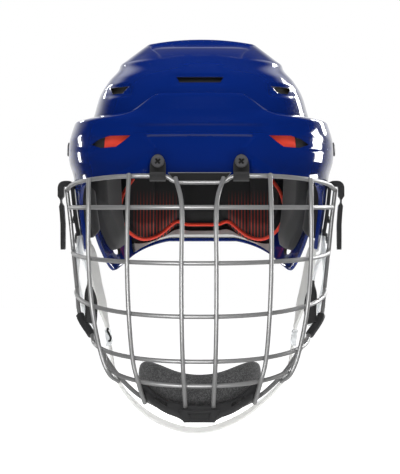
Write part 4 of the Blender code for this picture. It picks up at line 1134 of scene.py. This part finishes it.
# Outer leg of a side clip: height, thickness
CLIP_LEG = ((-0.0045, 0.0046), (-0.0075, 0.0046), (-0.0108, 0.0046), (-0.0114, 0.0009), (-0.0135, 0.0008),
            (-0.0156, 0.0009), (-0.0162, 0.0036), (-0.0200, 0.0036), (-0.0300, 0.0036), (-0.0400, 0.0036),
            (-0.0480, 0.0036), (-0.0520, 0.0034))
CLIP_WIDTHS = (0.0150, 0.0160, 0.0160, 0.0160, 0.0160, 0.0160, 0.0105)


class HELMET_OT_side_hardware(bpy.types.Operator):
    """Arched clips on the temples, and the screws along the sides"""
    bl_idname = "helmet.side_hardware"
    bl_label = "Side hardware"

    def execute(self, context):
        thick, seat_gap, screw_height, adjuster_height = 0.0024, 0.00075, -0.0270, 0.027
        for word, side in SIDES:
            path, depths = self.clip_route(side, thick, seat_gap)
            clip = strip("side_clip_%s_arch" % word, path, Vector((0, 1, 0)), CLIP_WIDTHS, depths)
            settle(clip, "clip", "helmet", "clip", "side_clip_" + word)
            angle = angle_at_y(front_point, -0.0045, screw_height) * side
            seat = on_face(front_point, angle, screw_height, seat_gap + thick)
            screw("side_screw_" + word, "side_clip_screw_" + word, seat, Vector((side, 0, 0)),
                  head=0.0030, height=0.0012, shank=0.0014, depth=0.002)
            angle = angle_at_y(front_point, 0.004, adjuster_height) * side
            seat = on_face(front_point, angle, adjuster_height, -0.0004)
            screw("length_screw_" + word, "adjuster_screw_" + word, seat,
                  face_normal(front_point, angle, adjuster_height),
                  head=0.0055, height=0.0014, shank=0.0025, depth=0.0062)
        return {"FINISHED"}

    def clip_route(self, side, thick, seat_gap):
        """Path of a side clip up the temple, over its arch and down the outer leg, with its thicknesses."""
        y, foot, outer, square, lean = -0.0090, -0.0400, 0.1114, 0.65, 0.0016
        temple_steps, arch_steps = 11, 20
        centre, hook = CLIP_LEG[0]
        path, depths = [], []
        for step in range(temple_steps + 1):
            height = blend(foot, centre, step / temple_steps)
            angle = angle_at_y(front_point, y, height) * side
            place = on_face(front_point, angle, height, seat_gap + thick / 2)
            path.append(Vector((place.x, y, place.z)))
            depths.append(thick)
        inner = path[-1].x * side
        radius = (outer - inner) / 2
        for step in range(1, arch_steps):
            turn = math.pi * (1 - step / arch_steps)
            x = inner + radius + radius * signed_power(math.cos(turn), square)
            rise = radius * 1.05 * signed_power(math.sin(turn), square)
            path.append(Vector((x * side, y, centre + rise)))
            depths.append(blend(thick, hook, ramp(step, 0, 4)))
        for height, depth in CLIP_LEG:
            x = outer - lean * ramp(height, -0.010, -0.030)
            path.append(Vector((x * side, y, height)))
            depths.append(depth)
        return path, depths


def pad_depth(depth, channels=0, groove=0.30, edge=0.45):
    """Depth of a foam pad: a crown, drawn-in sides and evenly spaced channels."""
    def at(u, v):
        rim = min(1.0, 6 * min(u, 1 - u), 6 * min(v, 1 - v))
        full = edge + (1 - edge) * math.sin(rim * math.pi / 2)
        if channels:
            wave = max(0.0, math.cos(2 * math.pi * u * channels))
            full -= groove * wave ** 12 * ramp(min(u, 1 - u), 0.0, 0.04)
        return depth * full
    return at


def foam_pad(name, surface, turn, levels, depth, cuts=34):
    """Foam pad on the inside of a shell; levels gives its top and bottom at an angle."""
    def place(u, w, v):
        angle = turn(u)
        top, low = levels(angle)
        inside = sizes().wall + FOAM_GAP + depth(u, v) * (1 - w)
        return on_face(surface, angle, blend(low, top, v), -inside)
    return shaped_block(name, cuts, place)


def put_foam(piece, finish_name, body, slot, *nodes, smooth=60.0):
    settle(piece, finish_name, body, slot, *nodes, smooth=smooth)


# Lower edge of the nape foam, from its outer end to the middle: across, up
NAPE_LINE = ((0.0615, 0.0060), (0.0690, -0.0060), (0.0722, -0.0187), (0.0712, -0.0300), (0.0660, -0.0400),
             (0.0570, -0.0465), (0.0485, -0.0478), (0.0400, -0.0452), (0.0330, -0.0410), (0.0270, -0.0362),
             (0.0220, -0.0334), (0.0175, -0.0342), (0.0130, -0.0358), (0.0000, -0.0360))
NAPE_EDGE = reader([*NAPE_LINE[3:], (0.0735, -0.0187)])


class HELMET_OT_liner(bpy.types.Operator):
    """Foam pads of the liner, each with its channels and drawn-in edges"""
    bl_idname = "helmet.liner"
    bl_label = "Liner"

    def execute(self, context):
        half, top, low = 0.050, 0.036, 0.005
        reach = angle_at_x(front_point, half, top)
        brow = foam_pad("brow_foam", front_point, even_turn(-reach, reach), lambda a: (top, low),
                        pad_depth(sizes().pad, channels=5))
        put_foam(brow, "liner", "helmet", "liner", "brow_pad")
        for word, side in SIDES:
            self.side_pads(word, side)
        self.nape()
        self.crown()
        return {"FINISHED"}

    def side_pads(self, word, side):
        """Foam behind an eye vent, a black piece of painted shade at its outer end, and foam at the temple and
        behind the ear.
        """
        pad, vent_level = sizes().pad, 0.0295
        # Ends of the vent foam and of the painted shade at its tip across the helmet, and of the temple and
        # ear foam along it
        vent = [angle_at_x(front_point, x, vent_level) for x in (0.0530, 0.0755, 0.0757, 0.0850)]
        ear = [angle_at_y(dome_point, y, 0.0) for y in (-0.020, 0.018, 0.047, 0.098)]

        def rear_levels(angle):
            return 0.040, rear_edge(dome_point(angle, 0.0).y)[0] + 0.016
        rows = (
            ("vent_foam_", front_point, vent[:2], lambda a: (0.0400, 0.0225), pad_depth(0.007), 20,
             "red_liner", "helmet", "red_liner", ("vent_pad_" + word,)),
            # A matt black piece at the vent's outer tip: painted shade where the vent looks back onto the rear
            # shell.
            ("vent_tip_foam_", front_point, vent[2:], lambda a: (0.0375, 0.0240), pad_depth(0.0035), 12,
             "matt_black", "helmet", "liner", ()),
            ("temple_foam_", front_point, ear[:2], lambda a: (-0.001, -0.043), pad_depth(pad, channels=2), 34,
             "liner", "helmet", "liner", ("temple_pad_" + word,)),
            ("rear_side_foam_", dome_point, ear[2:], rear_levels, pad_depth(pad), 34,
             "liner", "rear", "liner", ("rear_side_pad_" + word,)),
        )
        for name, surface, (start, end), levels, depth, cuts, finish_name, body, slot, nodes in rows:
            turn = even_turn(start, end) if side > 0 else even_turn(-end, -start)
            piece = foam_pad(name + word, surface, turn, levels, depth, cuts)
            put_foam(piece, finish_name, body, slot, *nodes)

    def nape(self):
        """Nape foam with its red piping; below it the pale edge foam, and behind that a black strip that is
        painted shade under the piping.
        """
        rear_pad = sizes().rear_pad
        start = angle_at_y(dome_point, 0.106, 0.0)
        piece = foam_pad("nape_foam", dome_point, even_turn(start, 2 * math.pi - start),
                         lambda a: (0.040, NAPE_EDGE(abs(dome_point(a, 0.0).x))[0]),
                         pad_depth(rear_pad, channels=5, groove=0.18), cuts=60)
        put_foam(piece, "print", "rear", "liner", "nape_pad")
        inside, spread = sizes().wall + rear_pad * 0.72, 1.12
        line = smooth_line(mirrored([(x, 0.0, z) for x, z in NAPE_LINE]), 5)
        path = [on_face(dome_point, nape_angle(spot.x * spread, spot.z), spot.z, -inside) for spot in line]
        settle(tube("nape_cord", path, 0.0030), "red_liner", "rear", "red_liner", "nape_piping")
        level = -0.045
        start = nape_angle(0.062, level)
        turn = even_turn(start, 2 * math.pi - start)
        # A black strip behind the pale edge foam, showing above it: painted shade under the piping.
        for name, rise, depth, finish_name in (("nape_under_foam", 1.0, 0.0050, "matt_black"),
                                               ("nape_edge_foam", 0.62, 0.0065, "pale_foam")):
            def levels(angle):
                low = rear_edge(dome_point(angle, WIDEST_HEIGHT).y)[0] + 0.0022
                return blend(low, NAPE_EDGE(abs(dome_point(angle, level).x))[0] - 0.0008, rise), low
            piece = foam_pad(name, dome_point, turn, levels, pad_depth(depth), cuts=40)
            put_foam(piece, finish_name, "rear", "liner")

    def crown(self):
        """Ring of crown foam with shallow lobes, and the thin black foam inside the dome: partly a liner,
        partly painted shade that darkens the inside seen through the vents.
        """
        level, half_height, square, lobes, thin = 0.096, 0.010, 0.6, 12, 0.003
        outside = sizes().wall + FOAM_GAP

        def ring(turn, around):
            up = signed_power(math.sin(around), square)
            deep = 0.5 - 0.5 * signed_power(math.cos(around), square)
            inside = outside + sizes().pad * deep * (0.9 + 0.1 * math.cos(lobes * turn))
            return on_face(dome_point, turn, level + half_height * up, -inside)
        put_foam(ring_piece("crown_foam", 120, 24, ring), "liner", "rear", "liner", "crown_pad")
        # Black foam over the dome's inside: partly a liner, partly painted shade that darkens what the vents
        # show.
        turn = even_turn(-math.pi, math.pi)
        piece = walled_grid("dome_foam", even_columns(96), dome_rows_of(count=40, edge=0.010),
                            lambda u, v, w: dome_wall(turn(u), v, 0.046, outside + thin * w))
        put_foam(piece, "matt_black", "rear", "liner")


# Edges of the chin cup, from the middle outwards: across, up
CUP_TOP = reader(((0.0, -0.1684), (0.0200, -0.1651), (0.0295, -0.1605), (0.0430, -0.1485)))
CUP_LOW = reader(((0.0, -0.1796), (0.0117, -0.1796), (0.0140, -0.1778), (0.0226, -0.1744), (0.0370, -0.1645),
                  (0.0430, -0.1560)))
CUP_SLOT = ((0.0240, -0.1662), (0.0335, -0.1612), (0.0335, -0.1640), (0.0240, -0.1694))
CHIN_BOSS = ((-0.0150, -0.1712), (0.0150, -0.1712), (0.0118, -0.1805), (-0.0118, -0.1805))
BOSS_RECESS = ((-0.0085, -0.1735), (0.0085, -0.1735), (0.0060, -0.1785), (-0.0060, -0.1785))


class HELMET_OT_chin_cup(bpy.types.Operator):
    """Chin cup with its slots and centre boss, and the kidney-shaped foam behind it"""
    bl_idname = "helmet.chin_cup"
    bl_label = "Chin cup"

    def execute(self, context):
        half, wall, bulge = 0.0425, 0.0026, 0.0022
        chin = chin_run()
        face = sizes().wire / 2 + TOUCH_GAP

        def cup(u, w, v):
            x = half * (2 * u - 1)
            out = face + wall * (1 - w) + bulge * (1 - (2 * v - 1) ** 2)
            place = point_at_x(chin, x) + outward_at(chin, x) * out
            return Vector((place.x, place.y, blend(CUP_LOW(abs(x))[0], CUP_TOP(abs(x))[0], v)))
        piece = bevel(shaped_block("chin_cup_shell", 40, cup), 0.0006, 60)
        piece.data.materials.append(finish("clip"))
        # The slots' walls take matt black: painted shade that darkens the holes.
        carve(piece, twin_prisms("cup_slot", CUP_SLOT, *CUP_CUT), "matt_black")
        settle(piece, "clip", "cage", "clip", "chin_cup", smooth=45.0)
        front = point_at_x(chin, 0.0).y - face - wall - 0.0018
        boss = prism("chin_boss", CHIN_BOSS, front - 0.0022, front + 0.0040)
        carve(boss, prism("boss_cut", BOSS_RECESS, front - 0.0060, front - 0.0012))
        settle(bevel(boss, 0.0006, 40, 3), "clip", "cage", "clip")
        ends = [point_at_x(chin, CUP_HALF_WIDTH * end) for end in (-1.0, 1.0)]
        run = [ends[0]] + [place for place in chin if abs(place.x) < CUP_HALF_WIDTH] + [ends[1]]

        def foam(x, y, z):
            return self.foam(run, face, math.asin(max(-1.0, min(1.0, z))), math.atan2(y, x))
        pad = formed("chin_foam", foam, bpy.ops.mesh.primitive_uv_sphere_add, segments=56, ring_count=64,
                     radius=1.0)
        put_foam(tidy_faces(pad), "chin_foam", "cage", "chin_foam", "chin_pad", smooth=70.0)
        return {"FINISHED"}

    def foam(self, run, face, turn, around):
        """Point of the chin foam: thick in the middle, dipped on top, with round ends."""
        half, thick, tall, square, lift = 0.0500, 0.0160, 0.0380, 0.75, 0.0130
        x = half * math.sin(turn)
        full = max(0.0, math.cos(turn))
        base = point_at_x(run, max(run[0].x, min(run[-1].x, x)))
        ahead = outward_at(run, max(run[1].x, min(run[-2].x, x)))
        fall = max(0.0, abs(x) - run[-1].x)
        dip = 0.0030 * full ** 4
        centre = base - ahead * (face + thick * 0.42)
        centre += Vector((x - base.x, fall * 0.9, lift - dip / 2 + fall * 0.5))
        swell = full ** 0.45 / 2
        out = signed_power(math.cos(around), square) * thick * swell
        up = signed_power(math.sin(around), square) * (tall - dip) * swell
        return centre + ahead * out + Vector((0, 0, up))


class HELMET_OT_ear_guards(bpy.types.Operator):
    """Clear guards with an open middle, each on its screw"""
    bl_idname = "helmet.ear_guards"
    bl_label = "Ear guards"

    def execute(self, context):
        thick, lean, twist, centre_y, centre_z = 0.0022, 0.18, 0.16, 0.013, -0.0745
        outer_wide, outer_tall, inner_wide, inner_tall, inner_drop = 0.0300, 0.0390, 0.0200, 0.0220, 0.0060
        edge_square, ring_square, screw_height = 0.35, 0.85, -0.0430
        top = centre_z + outer_tall
        seat = front_point(angle_at_y(front_point, PLAN_CENTRE_Y, top), top).x + TOUCH_GAP
        for word, side in SIDES:
            def place(turn, around):
                share = 0.5 - 0.5 * signed_power(math.cos(around), edge_square)
                depth = thick * (0.5 + 0.5 * signed_power(math.sin(around), edge_square))
                wide, tall = blend(outer_wide, inner_wide, share), blend(outer_tall, inner_tall, share)
                y = centre_y + wide * signed_power(math.cos(turn), ring_square)
                z = centre_z - inner_drop * share + tall * signed_power(math.sin(turn), ring_square)
                rib = 0.0010 * math.exp(-((share - 0.5) / 0.16) ** 2)
                fold = lean * min(0.0, z + 0.054) - twist * (y - centre_y) * ramp(z, -0.050, -0.075)
                return Vector(((seat + depth + rib + fold) * side, y, z))
            piece = ring_piece("ear_guard_%s_clear" % word, 96, 28, place)
            settle(piece, "clear", "helmet", "clear", "ear_guard_" + word)
            spot = Vector(((seat + thick + 0.0006) * side, centre_y, screw_height))
            screw("ear_rivet_" + word, "ear_screw_" + word, spot, Vector((side, 0, 0)),
                  head=0.0042, height=0.0016, shank=0.0020, depth=0.001)
        return {"FINISHED"}


# Chin strap from its buckle to the middle, and the hook on the left strap seen from the front
CHIN_STRAP = ((0.0735, 0.0110, -0.1290), (0.0670, 0.0105, -0.1560), (0.0450, 0.0100, -0.1800),
              (0.0220, 0.0095, -0.1930), (0.0000, 0.0095, -0.1975))
STRAP_HOOK = ((-0.0740, -0.1146), (-0.0748, -0.1167), (-0.0733, -0.1197), (-0.0722, -0.1222),
              (-0.0726, -0.1246), (-0.0741, -0.1251))
STRAP_MEET = Vector((0.0752, 0.0110, -0.1150))


class HELMET_OT_straps(bpy.types.Operator):
    """Webbing of the chin strap with its buckles, and the rubber sleeves and straps of the cage"""
    bl_idname = "helmet.straps"
    bl_label = "Straps"

    def execute(self, context):
        width, thick = sizes().strap_width, sizes().strap_thickness
        for word, side in SIDES:
            for place, y, shift in (("front", -0.0060, -1.0), ("rear", 0.0150, 1.0)):
                path = self.upper_route(side, y, (width * 0.52 + TOUCH_GAP) * shift)

                def across(v):
                    return Vector((-0.42 * side * ramp(v, 0.15, 0.45) * ramp(v, 1.0, 0.75), 1, 0))
                strap = band("webbing_%s_%s" % (place, word), path, across, width, thick, rows=60)
                settle(strap, "webbing", "helmet", "webbing", "strap_%s_%s" % (place, word))
            self.buckle(word, side)
            self.sleeve(word, side)
        path = smooth_line([(x, -0.0038, z) for x, z in STRAP_HOOK], 6)
        settle(tube("strap_hook", path, 0.0017), "clip", "helmet", "clip")
        path = smooth_line(mirrored(CHIN_STRAP), 12)
        for spot in path:
            spot.x -= 0.0040 * ramp(spot.z, -0.145, -0.190)

        def tilted(v):
            return Vector((0, 1, 0.24 * ramp(min(v, 1 - v), 0.08, 0.30)))
        strap = band("webbing_chin", path, tilted, width, thick, rows=160)
        settle(strap, "webbing", "helmet", "webbing", "chin_strap")
        return {"FINISHED"}

    def upper_route(self, side, y, shift):
        """Path of a strap from the inside of the shell down to the buckle."""
        level, half_seat, bow = -0.0490, 0.004, Vector((0.001, 0, 0))
        angle = angle_at_y(front_point, y, level)
        inside = -(sizes().wall + 0.0009 + sizes().strap_thickness / 2)
        high, low = [on_face(front_point, angle, level + rise, inside) for rise in (half_seat, -half_seat)]
        end = STRAP_MEET + Vector((0.0, shift, 0.0))
        path = smooth_line([high, low, (low + end) / 2 + bow, end], 12)
        return [Vector((spot.x * side, spot.y, spot.z)) for spot in path]

    def buckle(self, word, side):
        """Ladder buckle: a plate with two windows and a raised thumb edge."""
        wide, deep, window_wide, window_share = 0.0290, 0.0040, 0.021, 0.22
        foot = Vector((CHIN_STRAP[0][0] * side, STRAP_MEET.y, CHIN_STRAP[0][2]))
        start = Vector((STRAP_MEET.x * side, STRAP_MEET.y, STRAP_MEET.z))
        run = (foot - start).normalized()
        out = side_of(Vector((side, 0, 0)), run)
        start, tall = start + run * 0.0014, (foot - start).length - 0.0017

        def at(along, across, lift):
            return start + run * tall * along + Vector((0, across, 0)) + out * lift

        def plate(u, w, v):
            waist = 0.94 + 0.06 * math.cos(math.pi * (2 * v - 1))
            return at(v, wide * waist * (u - 0.5), deep * (w - 0.5) + 0.0006 * ramp(abs(2 * v - 1), 0.6, 1.0))
        piece = bevel(shaped_block("buckle_" + word, 12, plate), 0.0006, 50)
        for share in (0.30, 0.70):
            window = formed("window", lambda x, y, z: at(share + z * window_share, window_wide * y, x * 0.02),
                            bpy.ops.mesh.primitive_cube_add, size=1.0)
            carve(piece, tidy_faces(window))
        settle(piece, "clear", "helmet", "clear", "strap_buckle_" + word)

    def sleeve(self, word, side):
        """Rubber sleeve on the outer wire and the pointed strap that stands behind it."""
        sleeve_width, width, thick = 0.0066, 0.012, 0.0018
        rim = rim_path() if side < 0 else rim_path()[::-1]
        run = rim[SLEEVE_RUN]
        piece = tube("rubber_sleeve_" + word, run, sleeve_width, 6)
        settle(bevel(piece, 0.0007, 60), "clip", "cage", "clip", "cage_sleeve_" + word)
        inward = side_of(Vector((-side, 0, 0)), (run[-1] - run[0]).normalized())
        foot = run[len(run) // 2] + inward * (sleeve_width / 2 + TOUCH_GAP + thick / 2)
        path = [foot + Vector((side * out, back, rise)) for out, back, rise in CAGE_STRAP]
        strap = band("cage_webbing_" + word, smooth_line(path, 10), lambda v: Vector((-0.8 * side, 1, 0.35)),
                     width, thick, rows=40, edge=0.0005, taper=lambda v: 1 - 0.85 * ramp(v, 0.45, 1.0))
        settle(strap, "black_webbing", "cage", "black_webbing", "cage_strap_" + word)


def aimed(item, target):
    item.rotation_euler = (Vector(target) - item.location).to_track_quat("-Z", "Y").to_euler()


# Lamps: name, place, target, size, power, and whether it lights matt surfaces or gloss
LAMPS = (
    ("top_box", (0.0, 1.10, 1.35), (0.0, 0.0, 0.05), (1.5, 1.2), 62.0, "matt"),
    ("front_box", (0.0, -1.7, 2.10), (0.0, 0.0, -0.05), (2.0, 1.2), 62.0, "matt"),
    ("right_strip", (0.92, 0.66, 0.12), (0.0, 0.0, 0.04), (0.28, 0.46), 8.0, "gloss"),
    ("right_high_strip", (0.60, 0.98, 0.40), (0.0, 0.0, 0.06), (0.12, 0.36), 3.2, "gloss"),
    ("left_strip", (-0.86, 0.78, 0.06), (0.0, 0.0, 0.04), (0.07, 0.30), 1.6, "gloss"),
    ("left_high_strip", (-0.56, 1.00, 0.36), (0.0, 0.0, 0.06), (0.05, 0.12), 0.5, "gloss"),
    (CAGE_LIGHT, (-0.35, -1.60, -0.20), (0.0, 0.0, -0.08), (1.1, 0.9), 42.0, "gloss"),
)
CAMERA_AIM = Vector((-0.0009, 0.0, -0.042))
CAMERA_TURN = math.radians(0.60)
CAMERA_LENS = 190.0
SENSOR_WIDTH = 36.0
WHITE = (1.0, 1.0, 1.0, 1.0)


class HELMET_OT_stage(bpy.types.Operator):
    """Pale floor, soft studio light and the camera"""
    bl_idname = "helmet.stage"
    bl_label = "Stage"

    def execute(self, context):
        clear_selection()
        bpy.ops.mesh.primitive_plane_add(size=14.0, location=(0.0, 0.0, -sizes().floor))
        floor = named("floor")
        floor.data.materials.append(self.floor_paint())
        floor.visible_glossy = False
        self.world(context)
        for name, place, target, size, power, kind in LAMPS:
            data = bpy.data.lights.new(name, "AREA")
            data.shape = "RECTANGLE"
            data.size, data.size_y = size
            data.energy = power
            lamp = bpy.data.objects.new(name, data)
            lamp.location = place
            aimed(lamp, target)
            lamp.visible_diffuse = kind == "matt"
            lamp.visible_glossy = kind == "gloss"
            context.scene.collection.objects.link(lamp)
        cage_lamp = bpy.data.objects[CAGE_LIGHT]
        cage_lamp.light_linking.receiver_collection = bpy.data.collections.new(CAGE_LIGHT)
        data = bpy.data.cameras.new("camera")
        data.sensor_width = SENSOR_WIDTH
        data.lens = CAMERA_LENS
        camera = bpy.data.objects.new("camera", data)
        away = Vector((math.sin(CAMERA_TURN), -math.cos(CAMERA_TURN), 0.0))
        camera.location = CAMERA_AIM + away * sizes().camera
        aimed(camera, CAMERA_AIM)
        context.scene.collection.objects.link(camera)
        context.scene.camera = camera
        context.scene.view_settings.view_transform = "Standard"
        return {"FINISHED"}

    def floor_paint(self):
        """White studio paper: matt, lifted to white for the camera and behind clear pieces."""
        glow = 0.80
        material = plain_material("white_studio_paper", tint_of("floor"), roughness=0.9, emission_color=WHITE)
        path = add_node(material, "ShaderNodeLightPath").outputs
        seen = path["Is Camera Ray"]
        for ray in ("Is Glossy Ray", "Is Transmission Ray"):
            seen = maths(material, "MAXIMUM", seen, path[ray])
        feed(material, "Emission Strength", maths(material, "MULTIPLY", seen, glow))
        return material

    def world(self, context):
        """White background for the camera, a dim room in front and a pale wall behind for the gloss."""
        world = bpy.data.worlds.new("studio")
        context.scene.world = world
        world.use_nodes = True
        world.node_tree.nodes.clear()
        path = add_node(world, "ShaderNodeLightPath").outputs
        place = add_node(world, "ShaderNodeTexCoord").outputs["Generated"]
        across, along, up = [axis_of(world, place, axis) for axis in "XYZ"]

        def rise(source, start, end, low=0.0, high=1.0):
            return span(world, source, start, end, low, high, "SMOOTHSTEP")
        wall = maths(world, "MULTIPLY", rise(along, 0.70, 0.98, 0.03, 0.90), rise(up, 0.12, 0.40, 1.0, 0.12))
        screen = rise(maths(world, "ABSOLUTE", across), 0.18, 0.30, 0.0, 0.80)
        for source, start, end in ((along, 0.66, 0.84), (up, 0.20, 0.40)):
            screen = maths(world, "MULTIPLY", screen, rise(source, start, end))
        ceiling, ground = rise(up, 0.02, 0.80, 0.0, 0.02), rise(up, -0.40, -0.62, 0.0, 0.60)
        room = wall
        for part in (screen, ceiling, ground):
            room = maths(world, "ADD", room, part)
        fill = rise(along, -0.40, 0.40, 0.52, 0.10)
        seen = maths(world, "MAXIMUM", path["Is Camera Ray"], path["Is Transmission Ray"])
        level = room
        for share, other in ((path["Is Diffuse Ray"], fill), (seen, 1.0)):
            links = {0: share, 2: level, 3: other}
            level = add_node(world, "ShaderNodeMix", links, data_type="FLOAT").outputs[0]
        sky = add_node(world, "ShaderNodeBackground", {"Color": WHITE, "Strength": level})
        add_node(world, "ShaderNodeOutputWorld", {"Surface": sky.outputs[0]})


OPERATORS = (HELMET_OT_stage, HELMET_OT_rear_shell, HELMET_OT_front_shell, HELMET_OT_cage,
             HELMET_OT_brow_hardware, HELMET_OT_side_hardware, HELMET_OT_liner, HELMET_OT_chin_cup,
             HELMET_OT_ear_guards, HELMET_OT_straps)


class HELMET_PT_pieces(bpy.types.Panel):
    """Sizes, colours and pieces of the helmet"""
    bl_idname = "HELMET_PT_pieces"
    bl_label = "Helmet"
    bl_space_type = "VIEW_3D"
    bl_region_type = "UI"
    bl_category = "Helmet"

    def draw(self, context):
        for group in (context.scene.helmet_sizes, context.scene.helmet_colours):
            for key in group.__annotations__:
                self.layout.prop(group, key)
        for operator in OPERATORS:
            self.layout.operator(operator.bl_idname)


CLASSES = (HelmetSizes, HelmetColours, *OPERATORS, HELMET_PT_pieces)


def register():
    for item in CLASSES:
        bpy.utils.register_class(item)
    bpy.types.Scene.helmet_sizes = PointerProperty(type=HelmetSizes)
    bpy.types.Scene.helmet_colours = PointerProperty(type=HelmetColours)


def unregister():
    del bpy.types.Scene.helmet_colours
    del bpy.types.Scene.helmet_sizes
    for item in reversed(CLASSES):
        bpy.utils.unregister_class(item)


def main():
    register()
    for operator in OPERATORS:
        group, name = operator.bl_idname.split(".")
        getattr(getattr(bpy.ops, group), name)()


if __name__ == "__main__":
    main()
